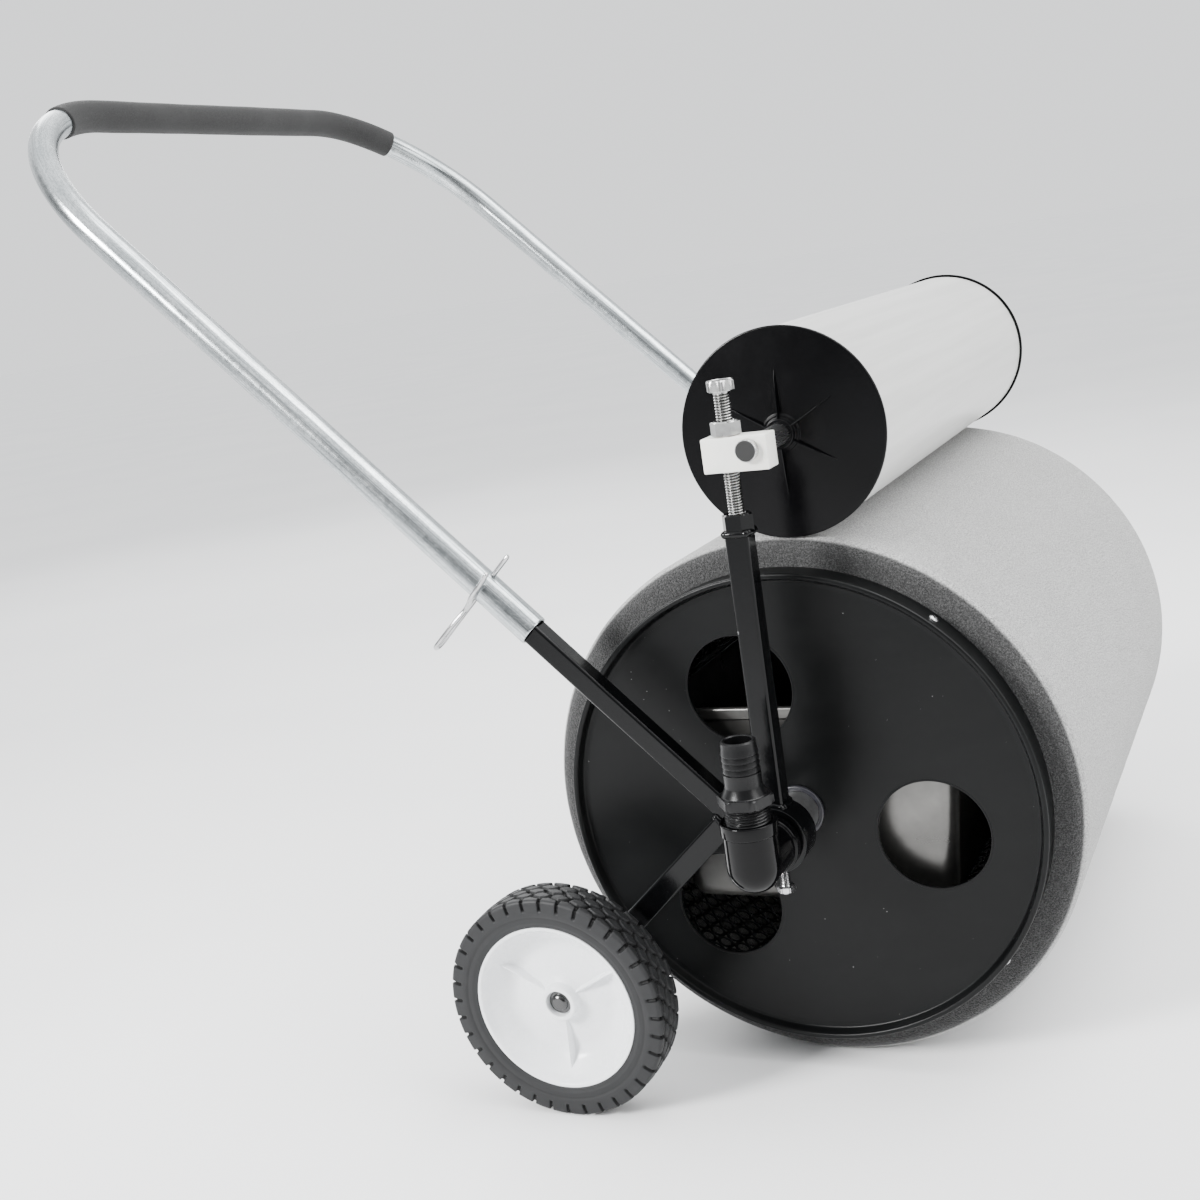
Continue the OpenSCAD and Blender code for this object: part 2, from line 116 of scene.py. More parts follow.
class Finish:
    # one material: textures on the piece's own coordinates, feeding one Principled shader

    def __init__(self, name):
        self.material = bpy.data.materials.new(name)
        self.material.use_nodes = True
        self.tree = self.material.node_tree
        self.shader = self.tree.nodes["Principled BSDF"]
        self.place = self.node("TexCoord", {}, {}, "Object")

    def node(self, kind, settings=(), inputs=(), output=0):
        return addNode(self.tree, kind, settings, inputs, output)

    def flow(self):
        # along the sweep and across it, from the piece's own attribute
        return self.node("Attribute", {"attribute_name": "flow"}, {}, "Vector")

    def scaled(self, vector, scale):
        # stretched along an axis where the scale is small
        return self.node("VectorMath", {"operation": "MULTIPLY"}, {0: vector, 1: scale})

    def part(self, vector, axis):
        # one number of a vector
        return self.node("SeparateXYZ", {}, {0: vector}, axis)

    def noise(self, scale, detail=2.0, rough=0.5, at=None, distortion=0.0):
        # smooth noise, scale in lumps to the metre
        return self.node("TexNoise", {}, {"Vector": at or self.place, "Scale": scale, "Detail": detail,
                                          "Roughness": rough, "Distortion": distortion})

    def cells(self, scale, at=None, output="Distance"):
        # the distance to scattered points, or a colour for each one's cell
        return self.node("TexVoronoi", {}, {"Vector": at or self.place, "Scale": scale}, output)

    def blend(self, mask, first, second):
        # colours only: first where the mask is 0, second where it is 1
        return self.node("Mix", {"data_type": "RGBA"}, {"Factor": mask, 6: first, 7: second}, 2)

    def bump(self, height, depth, strength):
        # the normal tilted by the slope of a height, depth in metres
        return self.node("Bump", {}, {"Height": height, "Distance": depth, "Strength": strength})

    def set(self, **values):
        # numbers go on the shader's own sockets, fields are linked to them
        names = {"color": "Base Color", "rough": "Roughness", "metal": "Metallic", "coat": "Coat Weight",
                 "coatRough": "Coat Roughness", "normal": "Normal", "specular": "Specular IOR Level",
                 "sheen": "Sheen Weight", "sheenRough": "Sheen Roughness",
                 "subsurface": "Subsurface Weight"}
        for key, value in values.items():
            socket = self.shader.inputs[names[key]]
            if isinstance(value, Field):
                self.tree.links.new(value.socket, socket)
            else:
                socket.default_value = value
        return self.material


def grey(level, blue=1.0):
    # one level for red and green, with the blue a little more or less
    return (level, level, level * blue, 1.0)


def drumFoamFinish(endAt, edgeRound):
    # open cells of two sizes; the cut end faces are darker than the skin of the round face, partly their own
    # tone and partly painted shade
    f = Finish("drumFoam")
    across = abs(f.part(f.place, "X"))
    cut = across.ramp(endAt - edgeRound * 0.42, endAt - edgeRound * 0.2)
    pores = f.cells(640).ramp(0.62, 0.15)
    fine = f.noise(820, 3.0, 0.75).ramp(0.38, 0.66)
    broad = f.noise(14, 3.0, 0.6)
    light = f.blend(fine, grey(0.29, 0.985), grey(0.5, 0.985))
    light = f.blend(pores * 0.45, light, grey(0.12))
    light = f.blend(broad.ramp(0.35, 0.75) * 0.14, light, grey(0.24, 0.98))
    # the end colour is the foam's darker cut tone with painted shade added, as the ends face away from the
    # light
    cutEndToneAndShade = f.blend(fine, grey(0.022), grey(0.072))
    cutEndToneAndShade = f.blend(pores * 0.6, cutEndToneAndShade, grey(0.01))
    height = f.noise(700, 3.0, 0.75) - pores * 0.8
    return f.set(color=f.blend(cut, light, cutEndToneAndShade), rough=0.95, specular=0.2, sheen=0.15, sheenRough=0.6,
                 normal=f.bump(height, 0.0009, 0.75))


def platePaintFinish():
    # semi gloss black with wiping marks, dust and short scratches
    f = Finish("platePaint")
    smear = f.noise(9, 4.0, 0.6, at=f.scaled(f.place, (1.0, 1.0, 2.2)), distortion=0.6)
    dust = f.cells(120).ramp(0.07, 0.03)
    spots = f.cells(34).ramp(0.022, 0.01)
    where = f.noise(13, 2.0, 0.5).ramp(0.52, 0.68)
    slanted = f.node("VectorRotate", {"rotation_type": "X_AXIS"}, {"Vector": f.place, "Angle": 0.6})
    scratch = f.cells(30, at=f.scaled(slanted, (1.0, 6.0, 0.9))).ramp(0.035, 0.01)
    marks = (dust * where + spots + scratch * 0.6).ramp(0.2, 0.9)
    base = f.blend(smear.ramp(0.3, 0.8), (0.0014, 0.0016, 0.0017, 1), (0.003, 0.0033, 0.0034, 1))
    return f.set(color=f.blend(marks * 0.8, base, grey(0.2)), rough=smear * 0.2 + 0.26 + marks * 0.3,
                 specular=0.16, normal=f.bump(f.noise(260, 2.0), 0.00005, 0.35))


def framePaintFinish():
    # glossy black enamel over drawn tube: long soft ripples, chips and rubbed spots
    f = Finish("framePaint")
    orange = f.noise(420, 2.0)
    wear = f.noise(60, 4.0, 0.65).ramp(0.66, 0.74)
    chips = f.cells(70, at=f.scaled(f.place, (1.0, 0.35, 0.35))).ramp(0.05, 0.02)
    chips = chips * f.noise(24, 2.0).ramp(0.55, 0.65)
    color = f.blend(wear * 0.35, (0.0014, 0.0015, 0.0017, 1), grey(0.015))
    return f.set(color=f.blend(chips * 0.7, color, grey(0.16)),
                 rough=f.noise(35, 3.0) * 0.16 + 0.08 + wear * 0.2,
                 specular=0.2, normal=f.bump(orange, 0.00012, 0.3))


def zincTubeFinish():
    # drawn lines along the tube under a mottled zinc plate
    f = Finish("zincTube")
    at = f.flow()
    lines = f.noise(520, 3.0, 0.75, at=f.scaled(at, (0.012, 1.0, 1.0)))
    broadLines = f.noise(170, 2.0, 0.6, at=f.scaled(at, (0.02, 1.0, 1.0)))
    cloud = f.noise(22, 4.0, 0.6)
    fleck = f.part(f.cells(160, output="Color"), "X")
    speckle = f.noise(750, 2.0, 0.7, at=f.scaled(at, (0.45, 1.0, 1.0))).ramp(0.42, 0.62)
    color = f.blend(cloud.ramp(0.3, 0.75), (0.52, 0.555, 0.57, 1), (0.72, 0.75, 0.76, 1))
    color = f.blend(lines.ramp(0.46, 0.62) * 0.65, color, (0.17, 0.19, 0.20, 1))
    color = f.blend(speckle * 0.45, color, (0.24, 0.265, 0.275, 1))
    color = f.blend(broadLines.ramp(0.54, 0.66) * 0.55, color, (0.10, 0.115, 0.12, 1))
    return f.set(color=color, metal=1.0, rough=lines * 0.16 + fleck * 0.05 + 0.12,
                 normal=f.bump(lines + broadLines * 0.6, 0.00006, 0.5))


def gripFinish():
    # closed cell foam with a fine dull grain
    f = Finish("gripFoam")
    grain = f.noise(1300, 3.0, 0.7)
    patch = f.noise(26, 3.0, 0.5)
    color = f.blend(grain.ramp(0.35, 0.7), grey(0.02), grey(0.042))
    color = f.blend(patch.ramp(0.45, 0.8) * 0.3, color, grey(0.05))
    return f.set(color=color, rough=0.88, specular=0.2, sheen=0.06, sheenRough=0.5,
                 normal=f.bump(grain, 0.0004, 0.5))


def brightSteelFinish(name, level, rough, tint=1.0):
    # turned or plated steel: fine grain, cloudy plate, a few dull stains, painted shade in the roots of the
    # threads
    f = Finish(name)
    root = f.part(f.flow(), "Y").ramp(0.2, 1.0)
    grain = f.noise(1400, 3.0, 0.7)
    cloud = f.noise(90, 4.0, 0.6)
    stain = f.noise(260, 3.0, 0.6).ramp(0.6, 0.72)
    color = f.blend(cloud.ramp(0.3, 0.75), grey(level * 0.72, tint), grey(level, tint))
    color = f.blend(stain * 0.5, color, grey(level * 0.42, 0.96))
    # painted shade: the colour is darkened where the thread is cut deepest
    color = f.blend(root * 0.85, color, grey(level * 0.1, 0.95))
    return f.set(color=color, metal=1.0, rough=grain * 0.12 + cloud * 0.1 + stain * 0.15 + rough,
                 normal=f.bump(grain, 0.00005, 0.35))


def mouldedFinish(name, level, rough, shade=0.85, tint=1.0, grain=700, depth=0.00006, specular=0.5):
    # moulded plastic: faint mottle, fine texture and uneven gloss
    f = Finish(name)
    cloud = f.noise(30, 3.0, 0.6)
    speck = f.noise(grain, 2.0, 0.6)
    color = f.blend(cloud.ramp(0.3, 0.75), grey(level * shade, tint), grey(level, tint))
    return f.set(color=color, rough=cloud * 0.12 + speck * 0.06 + rough, specular=specular,
                 normal=f.bump(speck, depth, 0.4))


def shaftFinish(endAt=0.3561):
    # bright drawn bar, dark and dull on its sawn ends, which start at endAt metres from the middle
    f = Finish("shaftSteel")
    lines = f.noise(700, 3.0, 0.7, at=f.scaled(f.place, (0.02, 1.0, 1.0)))
    end = abs(f.part(f.place, "X")).ramp(endAt, endAt + 0.0007)
    color = f.blend(lines.ramp(0.35, 0.7), grey(0.72), grey(0.34))
    color = f.blend(end, color, grey(0.012))
    return f.set(color=color, metal=1.0 - end * 0.75, rough=lines * 0.14 + 0.2 + end * 0.25,
                 normal=f.bump(lines, 0.00006, 0.4))


def hubFinish():
    # white plastic with a little road dust in patches
    f = Finish("hubPlastic")
    dust = f.noise(70, 4.0, 0.65).ramp(0.5, 0.8)
    speck = f.cells(190).ramp(0.06, 0.03)
    color = f.blend(dust * 0.22, (0.80, 0.815, 0.83, 1), (0.56, 0.57, 0.58, 1))
    return f.set(color=f.blend(speck * 0.5, color, grey(0.3)), rough=dust * 0.15 + 0.27,
                 coat=0.15, coatRough=0.15, normal=f.bump(f.noise(500, 2.0), 0.00005, 0.3))


def tyreFinish():
    # rubber, greyer on the walls; painted shade darkens the grooves, slits and the wall's shallow ring, a
    # painted highlight lightens its raised ring
    f = Finish("tyreRubber")
    # 0 in grooves and slits, where painted shade makes the colour nearly black, 1 on the raised rubber
    outOfGrooveShade = f.part(f.flow(), "Y").ramp(0.0, 1.0)
    grain = f.noise(800, 3.0, 0.7)
    cloud = f.noise(45, 3.0, 0.6)
    color = f.blend(outOfGrooveShade, (0.0012, 0.0012, 0.0013, 1), (0.0115, 0.0118, 0.0125, 1))
    color = f.blend(cloud.ramp(0.45, 0.75) * 0.3, color, (0.018, 0.0184, 0.019, 1))
    return f.set(color=color, rough=grain * 0.14 + 0.46, specular=0.3,
                 normal=f.bump(grain, 0.00012, 0.5))


def nylonFinish():
    # sawn and milled nylon: faint cutter marks, a grubby tint
    f = Finish("blockNylon")
    marks = f.noise(240, 2.0, 0.6, at=f.scaled(f.place, (1.0, 6.0, 0.25)))
    grime = f.noise(150, 4.0, 0.7).ramp(0.58, 0.78)
    color = f.blend(grime * 0.4, (0.80, 0.79, 0.74, 1), (0.50, 0.49, 0.45, 1))
    return f.set(color=color, rough=marks * 0.15 + 0.36, subsurface=0.05,
                 normal=f.bump(marks, 0.00015, 0.35))


def rollerTubeFinish():
    # satin extruded tube with very long faint lines and light scuffs
    f = Finish("rollerTube")
    lines = f.noise(120, 3.0, 0.6, at=f.scaled(f.place, (0.03, 1.0, 1.0)))
    scuff = f.noise(80, 4.0, 0.7, at=f.scaled(f.place, (1.0, 3.0, 3.0))).ramp(0.66, 0.76)
    color = f.blend(lines.ramp(0.3, 0.7), (0.53, 0.53, 0.515, 1), (0.60, 0.60, 0.585, 1))
    return f.set(color=f.blend(scuff * 0.25, color, grey(0.42)), rough=lines * 0.1 + scuff * 0.12 + 0.3,
                 coat=0.1, coatRough=0.25, normal=f.bump(lines, 0.00008, 0.3))


def sheetFinish(name, low, high, rough, metal=0.0):
    # painted or galvanised sheet: broad clouds, drip marks
    f = Finish(name)
    cloud = f.noise(18, 4.0, 0.6)
    drip = f.noise(60, 3.0, 0.6, at=f.scaled(f.place, (1.0, 1.0, 0.15))).ramp(0.58, 0.75)
    color = f.blend(cloud.ramp(0.3, 0.75), low, high)
    color = f.blend(drip * 0.3, color, tuple(0.6 * c for c in low[:3]) + (1,))
    return f.set(color=color, metal=metal, rough=cloud * 0.15 + rough,
                 normal=f.bump(f.noise(300, 2.0), 0.00006, 0.3))


# one finish for each material slot of the record
finishes = {
    "frame_paint": framePaintFinish(),
    "stainless": brightSteelFinish("stainless", 0.54, 0.1, 0.985),
    "zinc_bolt": brightSteelFinish("zincBolt", 0.62, 0.1, 1.01),
    "zinc_tube": zincTubeFinish(),
    "grip_foam": gripFinish(),
    "pipe_steel": brightSteelFinish("pipeSteel", 0.42, 0.3),
    "fitting_plastic": mouldedFinish("fittingPlastic", 0.0012, 0.0, 0.7, 1.2, specular=0.16),
    "tray_steel": sheetFinish("traySteel", (0.10, 0.098, 0.094, 1), (0.16, 0.157, 0.15, 1), 0.22, 0.85),
    "axle_steel": mouldedFinish("axleSteel", 0.008, 0.12, 0.6, specular=0.9),
    "spacer_nylon": mouldedFinish("spacerNylon", 0.68, 0.35, 0.9),
    "block_nylon": nylonFinish(),
    "shaft_steel": shaftFinish(),
    "roller_plastic": rollerTubeFinish(),
    "cap_plastic": mouldedFinish("capPlastic", 0.0013, 0.12, 0.75, 1.25, grain=350, specular=0.14),
    "shell_steel": sheetFinish("shellSteel", (0.02, 0.0235, 0.0225, 1), (0.042, 0.047, 0.045, 1), 0.4),
    "drum_foam": None,  # made with the sleeve, because it follows the sleeve's ends
    "plate_paint": platePaintFinish(),
    "bush_plastic": mouldedFinish("bushPlastic", 0.018, 0.2, 0.8, 1.25),
    "hub_plastic": hubFinish(),
    "tyre_rubber": tyreFinish(),
    "barb_plastic": mouldedFinish("barbPlastic", 0.003, 0.2, 0.75, 1.1, depth=0.0001, specular=0.26),
}
print("finishes ready")


def gridFaces(rows, columns, closedRows, closedColumns, start=0):
    # one quad between each pair of neighbours in both directions
    i = np.arange(rows if closedRows else rows - 1)[:, None]
    j = np.arange(columns if closedColumns else columns - 1)[None, :]
    up, right = (i + 1) % rows, (j + 1) % columns
    quads = np.stack([i * columns + j, up * columns + j, up * columns + right, i * columns + right], -1)
    return quads.reshape(-1, 4) + start


def put(name, points, faces, body, slotName, replaces=(), sharp=32, flow=None):
    # points in millimetres from the axle, faces as rows of corners; welded, turned outwards, shaded smooth
    points = np.asarray(points, float).reshape(-1, 3)
    faces = np.asarray(faces, np.int32)
    mesh = bpy.data.meshes.new(name)
    mesh.vertices.add(len(points))
    mesh.vertices.foreach_set("co", (points / 1000 + (0, axleY, axleZ)).ravel())
    mesh.loops.add(faces.size)
    mesh.loops.foreach_set("vertex_index", faces.ravel())
    mesh.polygons.add(len(faces))
    mesh.polygons.foreach_set("loop_start", np.arange(len(faces)) * faces.shape[1])
    mesh.update(calc_edges=True)
    if flow is not None:
        layer = mesh.attributes.new("flow", "FLOAT_VECTOR", "POINT")
        layer.data.foreach_set("vector", np.asarray(flow, float).ravel())
    work = bmesh.new()
    work.from_mesh(mesh)
    bmesh.ops.remove_doubles(work, verts=work.verts, dist=1e-6)
    bmesh.ops.dissolve_degenerate(work, edges=work.edges, dist=1e-7)
    bmesh.ops.recalc_face_normals(work, faces=work.faces)
    work.to_mesh(mesh)
    work.free()
    mesh.polygons.foreach_set("use_smooth", np.ones(len(mesh.polygons), bool))
    if sharp:
        mesh.set_sharp_from_angle(angle=math.radians(sharp))
    mesh.materials.append(finishes[slotName])
    piece = bpy.data.objects.new(name, mesh)
    bpy.context.collection.objects.link(piece)
    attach(piece, body)
    if replaces:
        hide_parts(*replaces)
    return piece


def filleted(corners, radii, steps=5, closed=True):
    # each corner of the outline gives way to a parabola that leaves both its edges at the fillet's distance
    corners = np.asarray(corners, float)
    radii = np.broadcast_to(np.asarray(radii, float), len(corners))
    back, ahead = np.roll(corners, 1, 0) - corners, np.roll(corners, -1, 0) - corners
    backLength, aheadLength = np.linalg.norm(back, axis=1), np.linalg.norm(ahead, axis=1)
    back, ahead = back / backLength[:, None], ahead / aheadLength[:, None]
    half = np.arccos(np.clip((back * ahead).sum(1), -1, 1)) / 2
    reach = np.minimum(radii / np.tan(np.maximum(half, 0.05)), 0.49 * np.minimum(backLength, aheadLength))
    if not closed:
        reach[[0, -1]] = 0
    u = np.linspace(0, 1, steps)[None, :, None]
    start, end = corners + back * reach[:, None], corners + ahead * reach[:, None]
    arc = (1 - u) ** 2 * start[:, None] + 2 * u * (1 - u) * corners[:, None] + u ** 2 * end[:, None]
    return arc.reshape(-1, 2)


def straight(origin, along, first):
    # a path that gives, for each distance, the centre and the two directions of its section
    origin, along, first = (np.asarray(v, float) for v in (origin, along, first))
    second = np.cross(along, first)

    def path(s):
        s = np.asarray(s, float)[:, None]
        return origin + s * along, np.broadcast_to(first, (len(s), 3)), np.broadcast_to(second, (len(s), 3))
    return path


def carried(profile, path, sides=96, shape=None, closed=False):
    # rows of (distance along, radius) swept round a path; shape(angle, radius) may change the round
    profile = np.asarray(profile, float)
    angle = np.arange(sides) * turn / sides
    centre, first, second = path(profile[:, 0])
    radius = np.repeat(profile[:, 1:2], sides, 1)
    if shape is not None:
        radius = shape(angle[None, :], radius, profile[:, 0:1])
    cosine, sine = radius * np.cos(angle), radius * np.sin(angle)
    points = centre[:, None] + cosine[..., None] * first[:, None] + sine[..., None] * second[:, None]
    flow = np.stack([np.repeat(profile[:, 0:1], sides, 1), cosine, sine], -1) / 1000
    return points, gridFaces(len(profile), sides, closed, True), flow


def sweep(name, profile, path, body, slotName, sides=96, shape=None, closed=False, root=0.0, **more):
    points, faces, flow = carried(profile, path, sides, shape, closed)
    if root:
        # how deep the thread is cut here, for the painted shade in its root
        cut = np.asarray(profile, float)[:, 1:2] - np.hypot(flow[..., 1], flow[..., 2]) * 1000
        flow[..., 1] = np.where(np.abs(cut) < root * 1.2, np.clip(cut / root, 0, 1), 0)
    return put(name, points, faces, body, slotName, flow=flow.reshape(-1, 3), **more)


def together(*grids):
    # several grids as one mesh
    points, faces, start = [], [], 0
    for some, quads in grids:
        some = np.asarray(some).reshape(-1, 3)
        points.append(some)
        faces.append(quads + start)
        start += len(some)
    return np.concatenate(points), np.concatenate(faces)


def hexShape(flats, rotate=0.0):
    # the distance to the flat sides of a six sided bar, where it is less than the round
    def shape(angle, radius, distance):
        nearest = (angle - rotate + math.pi / 6) % (math.pi / 3) - math.pi / 6
        return np.minimum(radius, flats / 2 / np.cos(nearest))
    return shape


def screwShape(outer, depth, pitch, low, high):
    # between low and high the radius falls by a rounded saw that climbs one pitch in each turn
    def shape(angle, radius, distance):
        wave = np.abs(((distance / pitch - angle / turn) % 1) * 2 - 1)
        groove = depth * np.clip(1.25 * wave - 0.12, 0, 1)
        inside = (distance > low) & (distance < high) & (radius > outer - depth * 1.05)
        return np.where(inside, np.minimum(radius, outer - groove), radius)
    return shape


def acrossAt(y, z):
    # a straight path from side to side
    return straight((0, y, z), (1, 0, 0), (0, 1, 0))


def upAt(x, y):
    # a straight path upwards
    return straight((x, y, 0), (0, 0, 1), (1, 0, 0))


def spoke(degrees):
    # away from the axle at this angle, and the way round from there
    a = math.radians(degrees)
    return np.array([0, math.cos(a), math.sin(a)]), np.array([0, -math.sin(a), math.cos(a)])


def sided(profile, side):
    # the distances of a profile turned over for the left side
    profile = np.array(profile, float)
    profile[:, 0] *= side
    return profile


acrossRight = acrossAt(0, 0)  # along the drum's own axle
sides = {"right": 1, "left": -1}
quarterSigns = np.array([[1, 1], [-1, 1], [-1, -1], [1, -1]])

foam = {"across": 240, "around": 600, "fillet": 10.5, "lump": 0.5, "skin": 0.15}


def makeFoam():
    # a round sleeve whose ends roll over, closed by its bore, with low lumps of a few waves each way
    low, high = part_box("foam_sleeve")
    outer, half, bore = (high.z - low.z) * 500 - foam["skin"], high.x * 1000, edge("drum_shell", 2) + 0.1
    corner = np.linspace(0, math.pi / 2, 14)
    fillet = foam["fillet"]
    side = [[-half + fillet - fillet * math.cos(t), outer - fillet + fillet * math.sin(t)] for t in corner]
    flat = np.linspace(-half + fillet, half - fillet, foam["across"])[1:-1]
    faceRows = np.linspace(bore, outer - fillet, 12)[:-1]
    left = [[-half, r] for r in faceRows] + side
    profile = np.array(left + [[x, outer] for x in flat] + [[-x, r] for x, r in reversed(left)])
    angle = np.arange(foam["around"]) * turn / foam["around"]
    x, r = profile[:, 0:1], profile[:, 1:2]
    lump = (np.sin(x / 31 + 2 * np.sin(3 * angle)) * np.sin(5 * angle + 1.7)
            + 0.7 * np.sin(x / 12.5 + 4 * np.sin(2 * angle + 0.5)) * np.sin(13 * angle)
            + 0.5 * np.sin(x / 5.1 + 3 * np.sin(7 * angle)) * np.sin(37 * angle + x / 19))
    inwards = np.clip((r - bore) / (outer - bore), 0, 1)
    radius = r - foam["lump"] * (1 + lump / 2.2) / 2 * inwards
    points = np.stack([np.broadcast_to(x, radius.shape), radius * np.cos(angle), radius * np.sin(angle)], -1)
    finishes["drum_foam"] = drumFoamFinish(half / 1000, fillet / 1000)
    piece = put("foam_sleeve_soft", points, gridFaces(len(profile), len(angle), True, True), "drum",
                "drum_foam", replaces=["foam_sleeve"], sharp=0)
    print("foam sleeve")


makeFoam()

shell = {"pitch": 15.0, "hole": 4.7, "thickness": 1.4, "parts": 3, "margin": 13.0, "twist": -0.21,
         "seam": 168.0, "holeSides": 18, "bandDeep": 1.55}


def makeShell():
    # a honeycomb of six sided rings, each with a round hole, wrapped on the cylinder and then thickened
    half, outer = edge("drum_shell", 0), edge("drum_shell", 2)
    rows = 2 * round(turn * outer / (shell["pitch"] * math.sqrt(3) / 2) / 2)
    rowStep = turn / rows
    count = int((2 * half - 2 * shell["margin"]) / shell["pitch"])
    pitch = (2 * half - 2 * shell["margin"]) / (count + 0.5)
    # each cell: a hexagon outside, a round hole inside, as many corners on both
    corner = np.arange(shell["holeSides"]) * turn / shell["holeSides"] + turn / 12
    reach = 0.5 / np.cos(corner % (turn / 6) - turn / 12)
    hexagon = np.stack([np.cos(corner) * pitch * reach,
                        np.sin(corner) * rowStep * reach * 2 / math.sqrt(3)], -1)
    ring = np.stack([np.cos(corner) * shell["hole"], np.sin(corner) * shell["hole"] / outer], -1)
    template = np.concatenate([hexagon, ring])
    k, n = np.arange(shell["holeSides"]), shell["holeSides"]
    quads = np.stack([k, (k + 1) % n, (k + 1) % n + n, k + n], -1)
    for part in range(shell["parts"]):
        columns = np.arange(part * count // shell["parts"], (part + 1) * count // shell["parts"])
        i, j = np.meshgrid(columns, np.arange(rows), indexing="ij")
        x = -half + shell["margin"] + pitch * (i + 0.5 + 0.5 * (j % 2))
        cell = np.stack([x, j * rowStep], -1).reshape(-1, 1, 2) + template
        radius = outer - 0.1
        around = cell[..., 1] + shell["twist"] * cell[..., 0] / outer
        points = np.stack([cell[..., 0], radius * np.cos(around), radius * np.sin(around)], -1)
        faces = (np.arange(len(cell))[:, None, None] * 2 * n + quads).reshape(-1, 4)
        piece = put("drum_shell_part_%d" % (part + 1), points, faces, "drum", "shell_steel",
                    replaces=["drum_shell"], sharp=0)
        thick = piece.modifiers.new("sheet", "SOLIDIFY")
        thick.thickness, thick.offset = shell["thickness"] / 1000, -1
    # plain bands that close both ends, and the lapped seam inside
    bands = []
    for end in (-1, 1):
        inside = half - shell["margin"] - shell["pitch"] * 0.35
        deep = outer - shell["bandDeep"]
        loop = [[end * half, outer - 0.05], [end * inside, outer - 0.05], [end * inside, deep],
                [end * half, deep]]
        points, faces, _ = carried(loop, acrossRight, 240, closed=True)
        bands.append((points, faces))
    s = np.linspace(-half + 2, half - 2, 60)
    width = np.array([-8, -7.2, 7.2, 8, 7.2, -7.2]) / outer
    depth = np.array([-1.3, -2.3, -2.3, -1.3, -1.25, -1.25])
    radius = outer + depth[None, :]
    around = math.radians(shell["seam"]) + width[None, :]
    size = (len(s), len(width))
    strip = np.stack([np.broadcast_to(s[:, None], size), np.broadcast_to(radius * np.cos(around), size),
                      np.broadcast_to(radius * np.sin(around), size)], -1)
    bands.append((strip, gridFaces(*size, False, True)))
    points, faces = together(*bands)
    put("drum_shell_bands", points, faces, "drum", "shell_steel", replaces=["drum_shell"])
    print("drum shell")


makeShell()

plate = {"hole": 43.0, "ring": 105.0, "firstHole": 110.0, "openings": 3, "thickness": 2.0, "bore": 19.2,
         "lip": 0.9, "setBack": 6.5}


def makePlate(name, side):
    # the rim is a rolled profile swept round; the face is a disc filled between its round edges
    rim, face, out = edge("end_plate_right", 0), edge("bushing_right", 0) - 3.0, edge("end_plate_right", 2)
    back = edge("end_plate_right", 0, False)
    inner = out - plate["setBack"]
    outline = filleted([[back, out - 1.8], [back, out], [rim, out], [rim, out - 4.2], [face + 0.02, inner],
                        [face + 0.02, inner - 4], [face - 2, inner - 4], [face - 2, inner - 0.2],
                        [rim - 2.2, out - 3.2], [rim - 2.2, out - 1.8]],
                       [0.3, 0.3, 2.6, 2.0, 2.2, 0.01, 0.01, 1.0, 0.8, 0.5], 6)
    sweep("end_plate_rim_" + name, sided(outline, side), acrossRight, "drum", "plate_paint", sides=288,
          closed=True, replaces=["end_plate_" + name])
    loops = [(0, 0, inner - 3.5, 240), (0, 0, plate["bore"], 96)]
    for i in range(plate["openings"]):
        a = math.radians(plate["firstHole"]) + i * turn / plate["openings"]
        loops.append((plate["ring"] * math.cos(a), plate["ring"] * math.sin(a), plate["hole"] + 0.4, 120))
    rings, links, start = [], [], 0
    for y, z, radius, count in loops:
        k = np.arange(count)
        angle = k * turn / count
        rings.append(np.stack([np.full(count, side * (face - plate["thickness"] / 2)),
                               y + radius * np.cos(angle), z + radius * np.sin(angle)], -1))
        links.append(np.stack([k, (k + 1) % count], -1) + start)
        start += count
    mesh = bpy.data.meshes.new("end_plate_face_" + name)
    mesh.from_pydata((np.concatenate(rings) / 1000 + (0, axleY, axleZ)).tolist(),
                     np.concatenate(links).tolist(), [])
    work = bmesh.new()
    work.from_mesh(mesh)
    bmesh.ops.triangle_fill(work, edges=work.edges, use_beauty=True)
    bmesh.ops.recalc_face_normals(work, faces=work.faces)
    work.to_mesh(mesh)
    work.free()
    mesh.materials.append(finishes["plate_paint"])
    disc = bpy.data.objects.new("end_plate_face_" + name, mesh)
    bpy.context.collection.objects.link(disc)
    thick = disc.modifiers.new("sheet", "SOLIDIFY")
    thick.thickness, thick.offset = plate["thickness"] / 1000, 0.0
    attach(disc, "drum")
    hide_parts("end_plate_" + name)
    # each opening has a narrow rolled edge
    lips = []
    for y, z, radius, count in loops[1:]:
        front = face + plate["lip"] * 0.35
        edgeLoop = filleted([[front, radius - plate["lip"]], [front, radius + 0.8],
                             [face - 2.6, radius + 0.8], [face - 2.6, radius - plate["lip"]]], 0.55, 4)
        points, faces, _ = carried(sided(edgeLoop, side), acrossAt(y, z), 120, closed=True)
        lips.append((points, faces))
    points, faces = together(*lips)
    put("end_plate_lips_" + name, points, faces, "drum", "plate_paint", replaces=["end_plate_" + name])


for name, side in sides.items():
    makePlate(name, side)
print("end plates")

screws = {"first": 51.0, "count": 4, "station": 288.0, "radius": 4.0, "height": 2.3, "armWide": 0.84,
          "armLong": 2.4, "recess": 1.44}


